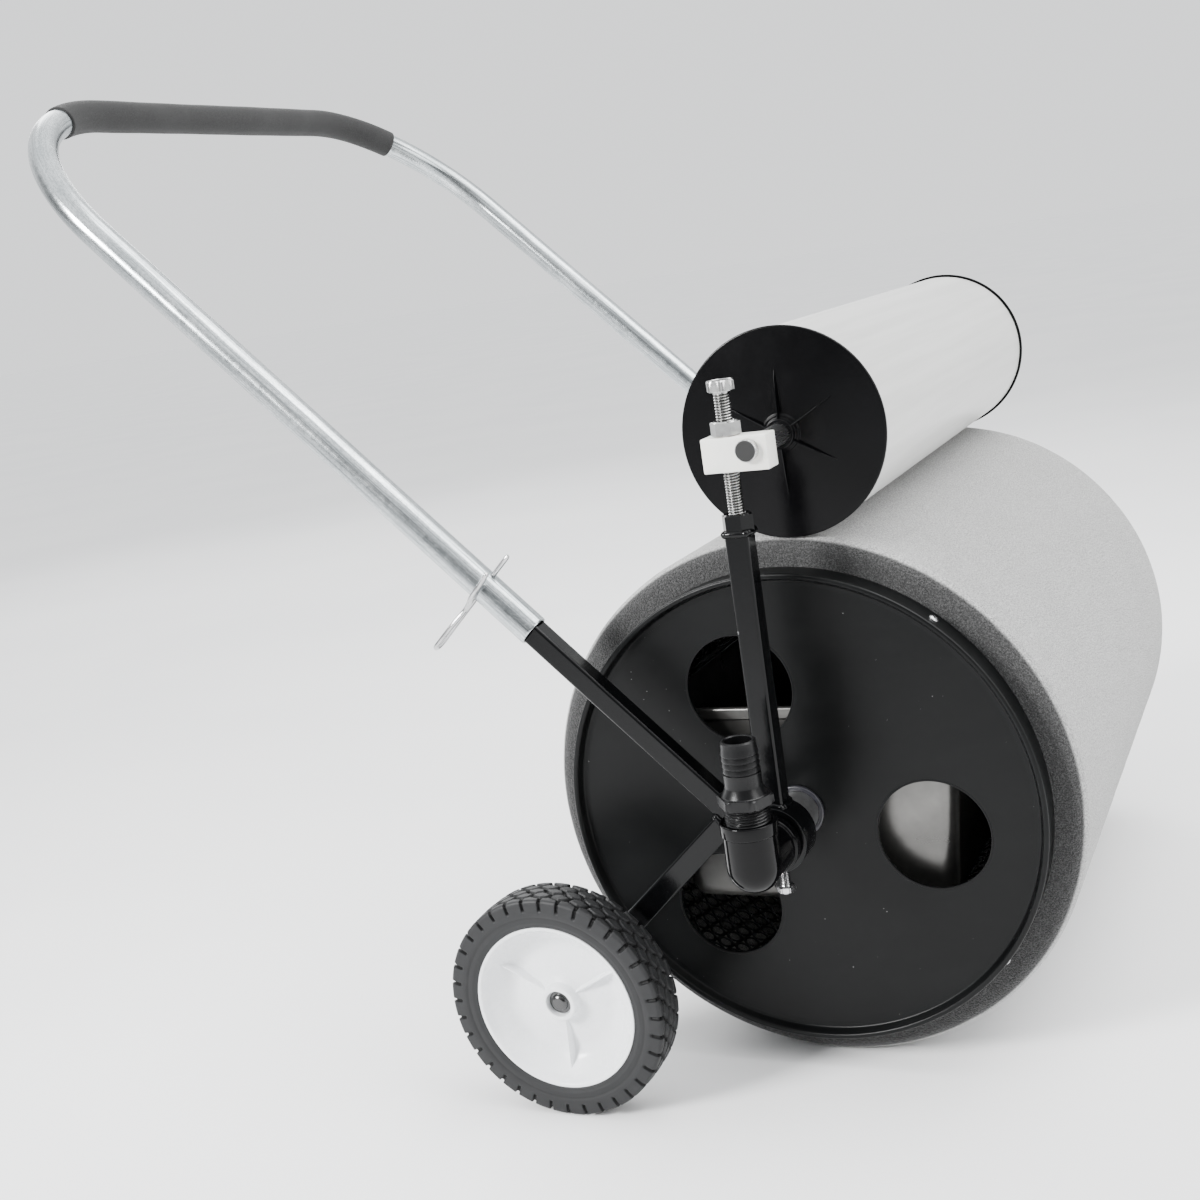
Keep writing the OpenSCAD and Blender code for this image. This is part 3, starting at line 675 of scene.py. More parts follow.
def makeScrews():
    # a low dome on a polar grid, lowered inside the two arms of a cross
    out = edge("end_plate_right", 2)
    ring = np.linspace(0, 1, 18)[:, None]
    angle = (np.arange(64) * turn / 64)[None, :]
    across, along = ring * np.cos(angle) * screws["radius"], ring * np.sin(angle) * screws["radius"]
    dome = screws["height"] * np.sqrt(np.clip(1 - (ring / 1.04) ** 2, 0, 1)) * np.ones_like(angle)
    arm = np.minimum(np.abs(across), np.abs(along)) < screws["armWide"] / 2
    cross = arm & (ring * screws["radius"] < screws["armLong"])
    height = np.where(cross, np.maximum(dome - screws["recess"], 0.4), dome)
    top = np.stack([across, along, height], -1)
    base = np.stack([across[::-1], along[::-1], np.full_like(height, -1.0)], -1)
    shape = np.concatenate([top, base])
    faces = gridFaces(len(shape), 64, False, True)
    grids = []
    for side in (-1, 1):
        for i in range(screws["count"]):
            outwards, sideways = spoke(screws["first"] + 360 / screws["count"] * i)
            centre = np.array([side * screws["station"], 0, 0]) + outwards * (out - 0.3)
            grids.append((centre + shape[..., 0:1] * (1, 0, 0) + shape[..., 1:2] * sideways
                          + shape[..., 2:3] * outwards, faces))
    points, faces = together(*grids)
    put("plate_screws_domed", points, faces, "drum", "zinc_bolt", replaces=["plate_screws"])


makeScrews()

for name, side in sides.items():
    tip = edge("bushing_right", 0)
    outline = filleted([[tip, 16.76], [tip, 20.5], [tip - 3, 20.5], [tip - 3, 18.9], [tip - 17, 18.9],
                        [tip - 17, 16.76]], [0.5, 1.0, 0.4, 0.3, 0.5, 0.3], 5)
    sweep("bushing_turned_" + name, sided(outline, side), acrossRight, "drum", "bush_plastic", closed=True,
          replaces=["bushing_" + name])

tray = {"corner": 14.0, "cornerSteps": 16, "bottomRound": 12.0, "bottomHalf": 110.0, "wall": 2.0}


def makeTray():
    # a rounded rectangle drawn down a profile: hem, leaning wall, rolled bottom edge and floor outside,
    # then the same inside
    half = edge("drip_tray", 0) - 2.0
    top, bottom = edge("drip_tray", 2) - 0.1, edge("drip_tray", 2, False)
    widthTop, widthBottom = edge("drip_tray", 1) - 2.0, tray["bottomHalf"]
    down = filleted([[top - 3, -2.0], [top, -2.0], [top, 3.0], [top - 9.5, 3.0], [top - 10, 0.6], [bottom, 0],
                     [bottom, -60]], [0.4, 2.2, 2.4, 1.4, 1.0, tray["bottomRound"], 0.1], 7, closed=False)
    inside = filleted([[bottom + tray["wall"], -60], [bottom + tray["wall"], -2], [top - 3, -2.0]],
                      [0.1, tray["bottomRound"] - 2, 0.1], 7, closed=False)
    rows = np.concatenate([down, inside])
    corner = np.linspace(0, math.pi / 2, tray["cornerSteps"])
    height, out = rows[:, 0:1], rows[:, 1:2]
    lean = (height - bottom) / (top - bottom)
    halfY = widthBottom + (widthTop - widthBottom) * lean
    around = []
    for quarter in range(4):
        a = corner + quarter * math.pi / 2
        sx, sy = quarterSigns[quarter]
        r = tray["corner"]
        grow = np.maximum(out, -r + 1.0)
        inset = np.minimum(out + r - 1.0, 0)
        x = sx * (half - r + inset) + (r + grow) * np.cos(a)
        y = sy * (halfY - r + inset) + (r + grow) * np.sin(a)
        around.append(np.stack([x, y, np.broadcast_to(height, x.shape)], -1))
    loop = np.concatenate(around, 1)
    floor = len(down) - 1
    ring = loop.shape[1]
    faces = gridFaces(len(rows), ring, False, True)
    # the floor's two skins are closed by a band of quads across the ring
    keep = faces.reshape(len(rows) - 1, ring, 4)
    faces = np.concatenate([keep[:floor], keep[floor + 1:]]).reshape(-1, 4)
    k = np.arange(ring // 2 - 1)
    for row in (floor, floor + 1):
        band = np.stack([row * ring + k, row * ring + k + 1, row * ring + ring - 2 - k,
                         row * ring + ring - 1 - k], -1)
        faces = np.concatenate([faces, band])
    put("drip_tray_sheet", loop, faces, "frame", "tray_steel", replaces=["drip_tray"])
    print("tray")


makeTray()

handle = {"leg": 134.5, "drop": 12.7, "length": 902.0, "bend": 165.0, "start": 242.0, "radius": 12.7,
          "bore": 11.2, "grip": 14.5, "gripRight": 22.5, "gripLeft": 40.0}
slope = math.radians(handle["leg"])
legWay = np.array([0, math.cos(slope), math.sin(slope)])
legOut = np.array([0, -math.sin(slope), math.cos(slope)])
sideX = (edge("upright_right", 0) + edge("upright_right", 0, False)) / 2
legRun = handle["length"] - handle["bend"] - handle["start"]
barRun = 2 * (sideX - handle["bend"])
bendRun = handle["bend"] * math.pi / 2
handleRun = 2 * (legRun + bendRun) + barRun


def inLeg(x, along, out):
    # x, distance up the leg and height on its underside, as a point
    x, along, out = np.broadcast_arrays(np.asarray(x, float), along, out)
    return x[..., None] * (1, 0, 0) + along[..., None] * legWay + (out + handle["drop"])[..., None] * legOut


def handlePath(s):
    # up the right leg, a quarter circle, the cross bar, and the same again mirrored
    s = np.asarray(s, float)
    h = np.minimum(s, handleRun - s)
    side = np.where(s < handleRun / 2, 1.0, -1.0)
    phi = np.clip((h - legRun) / handle["bend"], 0, math.pi / 2)
    x = sideX - handle["bend"] + handle["bend"] * np.cos(phi) - np.maximum(h - legRun - bendRun, 0)
    along = handle["start"] + np.minimum(h, legRun) + handle["bend"] * np.sin(phi)
    first = side[:, None] * np.cos(phi)[:, None] * (1, 0, 0) + np.sin(phi)[:, None] * legWay
    return inLeg(side * x, along, 0.0), first, np.broadcast_to(legOut, first.shape)


def handleProfile():
    # rolled open ends with the bore showing, and close rows round the bends
    r, bore = handle["radius"], handle["bore"]
    end = [[30, 0], [30, bore], [0.5, bore], [0.0, bore + 0.35], [0.0, r - 0.6], [0.15, r - 0.25], [0.6, r]]
    rows = np.linspace(2, handleRun - 2, 260)
    return np.array(end + [[s, r] for s in rows] + [[handleRun - a, b] for a, b in reversed(end)])


sweep("handle_tube_bent", handleProfile(), handlePath, "frame", "zinc_tube", sides=64,
      replaces=["handle_tube"])
gripStart = legRun + bendRun - math.radians(handle["gripRight"]) * handle["bend"]
gripEnd = handleRun - legRun - bendRun + math.radians(handle["gripLeft"]) * handle["bend"]
rows = np.linspace(gripStart + 1.6, gripEnd - 1.6, 150)
swell = 0.12 * np.sin(rows / 37.0) + 0.07 * np.sin(rows / 11.0)
lip = [[0, 12.72], [0.05, 13.6], [0.45, 14.2], [1.1, 14.45]]
# the last rows come back along the inside, so the sleeve has a wall
gripRows = ([[gripStart + a, b] for a, b in lip] + [[s, handle["grip"] + w] for s, w in zip(rows, swell)]
            + [[gripEnd - a, b] for a, b in reversed(lip)]
            + [[s, lip[0][1]] for s in rows[::-3]])
sweep("handle_grip_foam", gripRows, handlePath, "frame", "grip_foam", sides=72, closed=True,
      replaces=["handle_grip"])
print("handle")

clip = {"wire": 2.0, "gap": 9.0, "at": 295.0, "lean": -1.5, "eye": 62.0, "tip": -34.0, "steps": 260}


def smoothLine(knots, count):
    # a Catmull Rom curve through the knots, whole array at once
    knots = np.asarray(knots, float)
    padded = np.concatenate([2 * knots[:1] - knots[1:2], knots, 2 * knots[-1:] - knots[-2:-1]])
    t = np.linspace(0, len(knots) - 1.000001, count)
    i = t.astype(int)
    u = (t - i)[:, None]
    a, b, c, d = (padded[i + k] for k in range(4))
    bend, twist = 2 * a - 5 * b + 4 * c - d, 3 * b - a - 3 * c + d
    return 0.5 * (2 * b + (c - a) * u + bend * u ** 2 + twist * u ** 3)


def linePath(points, normal):
    # frames along a flat curve: its own normal in the plane, and the plane's
    points, normal = np.asarray(points, float), np.asarray(normal, float)
    step = np.gradient(points, axis=0)
    step /= np.linalg.norm(step, axis=1)[:, None]
    first = np.cross(normal, step)

    def path(s):
        i = np.round(s).astype(int)
        return points[i], first[i], np.broadcast_to(normal, (len(i), 3))
    return path


def makeClip(name, side):
    # a pin, a round eye and a bowed outer leg, one wire along a smooth line in its own plane
    g, e, r = clip["gap"], clip["eye"], clip["wire"]
    arc = np.linspace(0, math.pi, 9)
    eye = np.stack([g / 2 - g / 2 * np.cos(arc) * 1.08, e + 6.5 * np.sin(arc)], -1)
    knots = np.concatenate([[[0, clip["tip"]], [0, -10], [0, 15], [0, 38], [-0.4, e - 8]], eye,
                            [[g + 0.2, e - 8], [8.0, e - 22], [5.4, 29], [5.2, 23], [8.8, 15.5],
                             [13.6, 8.2], [15.6, 0], [15.6, -7], [17.2, -14], [20.5, -21]]])
    count = clip["steps"]
    flat = smoothLine(knots, count)
    lean = math.radians(clip["lean"])
    way = -math.sin(lean) * legWay + math.cos(lean) * legOut
    base = inLeg(side * sideX, clip["at"], 0.0)
    line = base + flat[:, 0:1] * side * np.array([1.0, 0, 0]) + flat[:, 1:2] * way
    normal = np.cross(way, (1, 0, 0))
    between = np.arange(1, count - 1)
    profile = np.concatenate([[[0, 0], [0, r * 0.7]], np.stack([between, np.full(len(between), r)], -1),
                              [[count - 1, r * 0.7], [count - 1, 0]]])
    sweep("hitch_clip_wire_" + name, profile, linePath(line, normal / np.linalg.norm(normal)), "frame",
          "zinc_bolt", sides=20, replaces=["hitch_clip_" + name], sharp=50)


for name, side in sides.items():
    makeClip(name, side)
print("hitch clips")

weld = {"radius": 2.4, "ripple": 0.45, "pitch": 3.0, "armAt": 35.0}
collar = {"radius": 25.5, "bore": 16.9}
tube = {"half": 9.0, "legHalf": 8.5, "corner": 2.5}  # the square tubes of the side frames


def bead(line, outwards, upwards):
    # a closed round of weld: a small circle carried round a loop, its radius swelling in ripples
    line = np.asarray(line, float)
    length = np.concatenate([[0], np.cumsum(np.linalg.norm(np.diff(line, axis=0), axis=1))])
    radius = weld["radius"] + weld["ripple"] * np.abs(np.sin(length / weld["pitch"] * math.pi))
    angle = (np.arange(12) * turn / 12)[None, :, None]
    points = line[:, None] + radius[:, None, None] * (np.cos(angle) * outwards[:, None]
                                                      + np.sin(angle) * upwards[:, None])
    return points, gridFaces(len(line), 12, True, True)


def squareLoop(half, fillet, count=28):
    # points and outward normals round a square with round corners
    corner = np.linspace(0, math.pi / 2, 7)
    a = np.concatenate([corner + k * math.pi / 2 for k in range(4)])
    centre = np.repeat(quarterSigns * (half - fillet), len(corner), 0)
    normal = np.stack([np.cos(a), np.sin(a)], -1)
    rough = centre + fillet * normal
    t = np.linspace(0, len(a), count * 4, endpoint=False)
    i = t.astype(int) % len(a)
    u = (t - t.astype(int))[:, None]
    after = (i + 1) % len(a)
    return rough[i] * (1 - u) + rough[after] * u, normal[i] * (1 - u) + normal[after] * u


def makeWelds(name, side):
    # beads where the tubes meet the collar, the leg and the nut
    grids = []
    loop, normal = squareLoop(tube["half"], tube["corner"])
    for way, up, half, offset in ((np.array([0, 1, 0]), np.array([0, 0, 1]), tube["half"], 0.0),
                                  (legOut, legWay, tube["legHalf"], handle["drop"])):
        across = loop[:, 0:1] * half / tube["half"]
        sideways = loop[:, 1:2] * half / tube["half"] + offset
        height = np.sqrt(np.clip(collar["radius"] ** 2 - sideways ** 2, 4, None))
        line = across * (1, 0, 0) + sideways * way + height * up + np.array([side * sideX, 0, 0])
        outwards = normal[:, 0:1] * (1, 0, 0) + normal[:, 1:2] * way
        grids.append(bead(line, outwards, np.broadcast_to(up, line.shape)))
    # wheel arm on the underside of the leg
    wheel = middle("tyre_right")
    start = inLeg(sideX, weld["armAt"], 0.0)
    toWheel = np.array([0, wheel[1] - start[1], wheel[2] - start[2]])
    toWheel /= np.linalg.norm(toWheel)
    squareAcross = np.cross(toWheel, (1, 0, 0))
    lean = float(toWheel @ legOut)
    base = start + loop[:, 1:2] * squareAcross
    gap = tube["legHalf"] - (base - start) @ legOut
    line = base + (gap / lean)[:, None] * toWheel + loop[:, 0:1] * (1, 0, 0)
    line[:, 0] = side * line[:, 0]
    outwards = normal[:, 0:1] * (side, 0, 0) + normal[:, 1:2] * squareAcross
    grids.append(bead(line, outwards, np.broadcast_to(toWheel, line.shape)))
    # under the weld nut
    top = edge("upright_right", 2)
    line = loop[:, 0:1] * (1, 0, 0) + loop[:, 1:2] * (0, 1, 0) + np.array([side * sideX, 0, top])
    outwards = normal[:, 0:1] * (1, 0, 0) + normal[:, 1:2] * (0, 1, 0)
    grids.append(bead(line, outwards, np.broadcast_to(np.array([0, 0, 1.0]), line.shape)))
    points, faces = together(*grids)
    put("weld_beads_" + name, points, faces, "frame", "frame_paint", sharp=0)


for name, side in sides.items():
    makeWelds(name, side)
    tip, back = edge("collar_right", 0), edge("collar_right", 0, False)
    bore, r = collar["bore"], collar["radius"]
    outline = filleted([[tip, bore], [tip, r], [back, r], [back, bore]], [0.6, 0.9, 0.9, 0.5], 4)
    sweep("collar_turned_" + name, sided(outline, side), acrossRight, "frame", "frame_paint", closed=True,
          replaces=["collar_" + name])
print("side frames")


fasteners = {"thread": 6.0, "depth": 0.95, "pitch": 2.0, "flats": 19.0, "weldFlats": 20.5, "headHigh": 8.0,
             "headTurn": -6.0, "nutTurn": 10.0}
setBolt = {"thread": 4.0, "depth": 0.6, "pitch": 1.25, "flats": 13.0, "headHigh": 5.5, "headTurn": 15.0}


def makeBolt(name, side):
    # head and threaded shank as one turned outline, six sided in the head and screw cut below
    low, high = edge("adjuster_bolt_right", 2, False), edge("adjuster_bolt_right", 2)
    head, r = high - fasteners["headHigh"], fasteners["thread"]
    shank = np.arange(low + 1.2, head - 1.6, fasteners["pitch"] / 10)
    rows = ([[low, 0], [low, 4.6], [low + 1.2, 5.8]] + [[z, r] for z in shank]
            + [[head - 1.5, 5.6], [head, 5.7], [head, 8.6], [head + 0.4, 8.7], [head + 0.4, 9.3],
               [head + 0.7, 11.2], [high - 1.1, 11.2],
               [high, 9.5], [high, 8.2], [high - 0.25, 7.9], [high - 0.25, 0]])
    thread = screwShape(r, fasteners["depth"], fasteners["pitch"], low + 1.3, head - 1.5)
    six = hexShape(fasteners["flats"], math.radians(fasteners["headTurn"]))

    def both(angle, radius, distance):
        return np.where(distance > head + 0.3, six(angle, radius, distance), thread(angle, radius, distance))
    sweep("adjuster_bolt_cut_" + name, rows, upAt(side * sideX, 0), "frame", "stainless", sides=60,
          shape=both, replaces=["adjuster_bolt_" + name], sharp=28, root=fasteners["depth"])


def makeNut(name, side):
    # chamfered six sided nut with a countersunk mouth round the bolt
    low, high = edge("adjuster_nut_right", 2, False), edge("adjuster_nut_right", 2)
    rows = [[low, 6.1], [low, 8.9], [low + 0.9, 11.2], [high - 0.9, 11.2], [high, 9.0], [high, 7.1],
            [high - 0.9, 6.1]]
    sweep("adjuster_nut_cut_" + name, rows, upAt(side * sideX, 0), "nut_" + name, "stainless", sides=72,
          shape=hexShape(fasteners["flats"], math.radians(fasteners["nutTurn"])), closed=True,
          replaces=["adjuster_nut_" + name], sharp=25)


def makeWeldNut(name, side):
    # the same outline, taller and wider, welded on the upright's top
    low, high = edge("weld_nut_right", 2, False), edge("weld_nut_right", 2)
    rows = [[low, 6.1], [low, 9.6], [low + 1.0, 12.2], [high - 1.2, 12.2], [high, 9.6], [high, 7.0],
            [high - 0.8, 6.1]]
    sweep("weld_nut_cut_" + name, rows, upAt(side * sideX, 0), "frame", "frame_paint", sides=72,
          shape=hexShape(fasteners["weldFlats"]), closed=True, replaces=["weld_nut_" + name], sharp=25)


def makeSetBolt(name, side):
    # head at the bottom, thread up into the collar
    low, high = edge("set_bolt_right", 2, False), edge("set_bolt_right", 2)
    head, r = low + setBolt["headHigh"], setBolt["thread"]
    shank = np.arange(low + 6.2, high - 0.6, 0.16)
    rows = ([[low, 0], [low, 5.2], [low + 0.2, 5.9], [low + 1.2, 7.6], [low + 4.9, 7.6], [head, 6.2],
             [head, r]] + [[z, r] for z in shank] + [[high, 3.0], [high, 0]])
    thread = screwShape(r, setBolt["depth"], setBolt["pitch"], low + 6.0, high)
    six = hexShape(setBolt["flats"], math.radians(setBolt["headTurn"]))

    def both(angle, radius, distance):
        return np.where(distance < head + 0.1, six(angle, radius, distance), thread(angle, radius, distance))
    sweep("set_bolt_cut_" + name, rows, upAt(side * sideX, 0), "frame", "zinc_bolt", sides=48, shape=both,
          replaces=["set_bolt_" + name], sharp=28, root=setBolt["depth"])


for name, side in sides.items():
    makeBolt(name, side)
    makeNut(name, side)
    makeWeldNut(name, side)
    makeSetBolt(name, side)
print("bolts and nuts")

pressY, pressZ = middle("press_shaft")[1:]
pressPath = acrossAt(pressY, pressZ)
block = {"round": 1.2, "bevel": 1.0, "boltHole": 6.25, "shaftHole": 8.05}
shaft = {"radius": 8.0, "chamfer": 1.1, "wall": 3.0}


def makeBlock(name, side):
    # a rounded bar: its outline drawn in at both ends, then drilled for the bolt and the shaft
    low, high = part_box("slide_block_" + name)
    mid = middle("slide_block_" + name)
    half = np.array([(high - low)[k] * 500 for k in range(3)])
    roundness, bevel = block["round"], block["bevel"]
    corner = np.linspace(0, math.pi / 2, 6)
    a = np.concatenate([corner + k * math.pi / 2 for k in range(4)])
    sign = np.repeat(quarterSigns, len(corner), 0)
    rows = np.array([[-half[0], 40], [-half[0], bevel], [-half[0] + 0.3, bevel * 0.3], [-half[0] + bevel, 0],
                     [half[0] - bevel, 0], [half[0] - 0.3, bevel * 0.3], [half[0], bevel], [half[0], 40]])
    inset = np.minimum(rows[:, 1:2], 40)
    y = sign[:, 0] * np.maximum(half[1] - roundness - inset, 0) + roundness * np.cos(a) * (inset < 39)
    z = sign[:, 1] * np.maximum(half[2] - roundness - inset, 0) + roundness * np.sin(a) * (inset < 39)
    points = np.stack([np.broadcast_to(rows[:, 0:1], y.shape), y, z], -1) + mid
    piece = put("slide_block_milled_" + name, points, gridFaces(len(rows), len(a), False, True),
                "press_carriage", "block_nylon", replaces=["slide_block_" + name], sharp=25)
    cutters = []
    for path, radius, at in ((upAt(side * sideX, 0), block["boltHole"], pressZ),
                             (pressPath, block["shaftHole"], side * sideX)):
        rows = [[at - 30, 0], [at - 30, radius], [at + 30, radius], [at + 30, 0]]
        grid, faces, _ = carried(rows, path, 64)
        cutters.append(put("cutter", grid, faces, "press_carriage", "block_nylon"))
    for cutter in cutters:
        cut = piece.modifiers.new("drill", "BOOLEAN")
        cut.object, cut.operation, cut.solver = cutter, "DIFFERENCE", "EXACT"
    bpy.context.view_layer.update()
    drilled = bpy.data.meshes.new_from_object(piece.evaluated_get(bpy.context.evaluated_depsgraph_get()))
    piece.modifiers.clear()
    piece.data = drilled
    drilled.set_sharp_from_angle(angle=math.radians(25))
    for cutter in cutters:
        bpy.data.objects.remove(cutter)


for name, side in sides.items():
    makeBlock(name, side)

shaftEnd, shaftR, chamfer = edge("press_shaft", 0), shaft["radius"], shaft["chamfer"]
shaftHalf = [[shaftEnd - chamfer, shaftR], [shaftEnd, shaftR - chamfer], [shaftEnd, 0]]
sweep("press_shaft_turned", [[-x, r] for x, r in reversed(shaftHalf)] + shaftHalf, pressPath,
      "press_carriage", "shaft_steel", sides=72, replaces=["press_shaft"], sharp=25)
tubeEnd, tubeR = edge("press_tube", 0), (edge("press_tube", 2) - edge("press_tube", 2, False)) / 2
stations = [[x, tubeR] for x in np.linspace(-tubeEnd + 1, tubeEnd - 1, 40)]
tubeIn = tubeR - shaft["wall"]
sweep("press_tube_extruded", [[-tubeEnd, tubeIn], [-tubeEnd, tubeR - 0.5]] + stations
      + [[tubeEnd, tubeR - 0.5], [tubeEnd, tubeIn]], pressPath, "press_roller", "roller_plastic", sides=256,
      closed=True, replaces=["press_tube"], sharp=25)

cap = {"radius": 79.3, "boss": 11.5, "ribs": 6, "ribTurn": 90.0, "ribLong": 46.5, "ribHigh": 5.5}


def makeCap(name, side):
    # the turned cap: raised lip, flat disc, two steps at the boss, plug inside the tube; then six thin ribs
    face = edge("press_tube", 0) + 3.5
    boss, r = cap["boss"], cap["radius"]
    outline = filleted([[face + 7, 8.1], [face + 7, boss], [face + 2.2, boss], [face + 2.2, 14.2],
                        [face, 14.2], [face, r], [face - 3.4, r], [face - 3.4, 74.2],
                        [face - 20, 74.0], [face - 20, 8.1]],
                       [0.5, 1.0, 0.8, 0.7, 1.2, 1.3, 1.0, 0.2, 0.5, 0.3], 5)
    sweep("press_cap_turned_" + name, sided(outline, side), pressPath, "press_roller", "cap_plastic",
          sides=192, closed=True, replaces=["press_cap_" + name], sharp=40)
    t = np.linspace(0, 1, 14)[:, None]
    section = np.array([[-1.1, -0.6], [-0.8, 0.55], [-0.45, 0.95], [0, 1.0], [0.45, 0.95], [0.8, 0.55],
                        [1.1, -0.6]])[None]
    reach = boss - 0.5 + (cap["ribLong"] - boss + 0.5) * t
    height = 0.35 + (cap["ribHigh"] - 0.35) * (1 - t) ** 0.85
    across, up = section[..., 0] * (1 - 0.35 * t), np.maximum(section[..., 1] * height, -0.5)
    grids = []
    for i in range(cap["ribs"]):
        outwards, sideways = spoke(cap["ribTurn"] + 360 / cap["ribs"] * i)
        rib = (np.array([0, pressY, pressZ]) + reach[..., None] * outwards + across[..., None] * sideways
               + side * (face + up)[..., None] * np.array([1.0, 0, 0]))
        ends = np.concatenate([rib[:1].mean(1, keepdims=True).repeat(7, 1), rib,
                               rib[-1:].mean(1, keepdims=True).repeat(7, 1)])
        grids.append((ends, gridFaces(len(ends), 7, False, True)))
    points, faces = together(*grids)
    put("press_cap_ribs_" + name, points, faces, "press_roller", "cap_plastic", sharp=35,
        replaces=["press_cap_" + name])


for name, side in sides.items():
    makeCap(name, side)
print("squeeze roller")

tyre = {"rim": 67.5, "outer": 91.4, "low": 369.2, "high": 406.8, "lugs": 36, "around": 1008, "cut": 3.0,
        "slit": 0.17, "slitDeep": 10.0, "rows": (-0.6, -0.2, 0.2, 0.6), "zigzag": 0.075, "groove": 0.062}


def makeTyre(name, side):
    # the outline swept round, then moved inwards along its own normal wherever a slanted slit or a zigzag
    # groove runs, with a raised ring and a shallow one on each wall
    wheel = middle("tyre_right")
    low, high, rim, outer = tyre["low"], tyre["high"], tyre["rim"], tyre["outer"]
    mid, halfWidth = (low + high) / 2, (high - low) / 2
    outline = filleted([[high - 2.0, rim + 0.1], [high - 0.6, rim + 8], [high, outer - 11],
                        [high - 0.6, outer - 0.7], [mid, outer + 0.15], [low + 0.6, outer - 0.7],
                        [low, outer - 11], [low + 0.6, rim + 8],
                        [low + 2.0, rim + 0.1]], [0.5, 8, 12, 3.4, 60, 3.4, 12, 8, 0.5], 9)
    closed = np.concatenate([outline, outline[:1]])
    length = np.concatenate([[0], np.cumsum(np.linalg.norm(np.diff(closed, axis=0), axis=1))])
    wall = outer - rim
    tread = length[-2] - 2 * wall
    s = np.concatenate([np.linspace(0, wall, 27)[:-1], np.linspace(wall, wall + tread, 47)[:-1],
                        np.linspace(wall + tread, length[-2], 20), [length[-1] * 0.93 + length[-2] * 0.07]])
    x, r = np.interp(s, length, closed[:, 0]), np.interp(s, length, closed[:, 1])
    dx, dr = np.gradient(x), np.gradient(r)
    size = np.hypot(dx, dr)
    nx, nr = -dr / size, dx / size
    if (nr * (r - (rim + outer) / 2)).sum() < 0:  # outwards, whichever way the outline runs
        nx, nr = -nx, -nr
    angle = (np.arange(tyre["around"]) * turn / tyre["around"])[None, :]
    x, r, nx, nr = (v[:, None] for v in (x, r, nx, nr))
    across = (x - mid) / halfWidth
    lug = tyre["lugs"] * angle / turn
    wave = np.abs(lug % 1 * 2 - 1) - 0.5

    def groove(distance, width, slope):
        # 1 in the middle of a groove, 0 outside it, with slopes between
        return np.clip((width - np.abs(distance)) / slope + 0.5, 0, 1)
    along = np.zeros_like(across * lug)
    row = np.zeros_like(along)
    for k, at in enumerate(tyre["rows"]):
        shift = across - at - tyre["zigzag"] * wave * (1 if k % 2 else -1) * 2
        along = np.maximum(along, groove(shift, tyre["groove"], 0.05))
        row = row + (shift > 0)
    slant = np.where(row % 2 == 0, 0.9, -0.9)
    inRow = across - (row - 2) * 0.4
    phase = lug + 0.5 * (row % 2) + slant * np.where((row == 0) | (row == 4), 0.12 * np.sign(across), inRow)
    slit = groove((phase + 0.5) % 1 - 0.5, tyre["slit"] / 2, 0.05)
    onTread = (r > outer - 2.4) & (np.abs(across) < 0.9)
    reach = np.clip((r - (outer - tyre["slitDeep"])) / 1.2, 0, 1)
    cut = np.maximum(slit * reach, np.where(onTread, along, 0))
    ringTop = np.exp(-((r - (rim + 4.5)) / 1.1) ** 2) * (np.abs(across) > 0.8)
    ringGap = np.exp(-((r - (rim + 8.5)) / 0.9) ** 2) * (np.abs(across) > 0.8)
    depth = tyre["cut"] * cut * np.where(onTread, 1.0, 0.75) + 0.5 * ringGap - 0.35 * ringTop
    px, pr = np.clip(x - nx * depth, low, high), r - nr * depth
    points = np.stack([side * px, wheel[1] + pr * np.cos(angle), wheel[2] + pr * np.sin(angle)], -1)
    # painted shade and highlight for the colour: slits, grooves and the shallow wall ring darker, the raised
    # wall ring lighter
    shade = np.clip(np.where(onTread, 0.8, 0.95) * (1 - cut) + ringTop * 0.4 - ringGap * 0.4, 0, 1)
    flow = np.stack([np.broadcast_to(across, pr.shape), shade, np.zeros_like(pr)], -1)
    put("tyre_treaded_" + name, points, gridFaces(len(x), tyre["around"], True, True), "wheel_" + name,
        "tyre_rubber", replaces=["tyre_" + name], sharp=45, flow=flow.reshape(-1, 3))


hub = {"rim": 67.4, "bore": 6.5, "boss": 14.0, "ribs": 3, "ribTurn": 30.0, "valley": 384.0, "reach": 57.0}


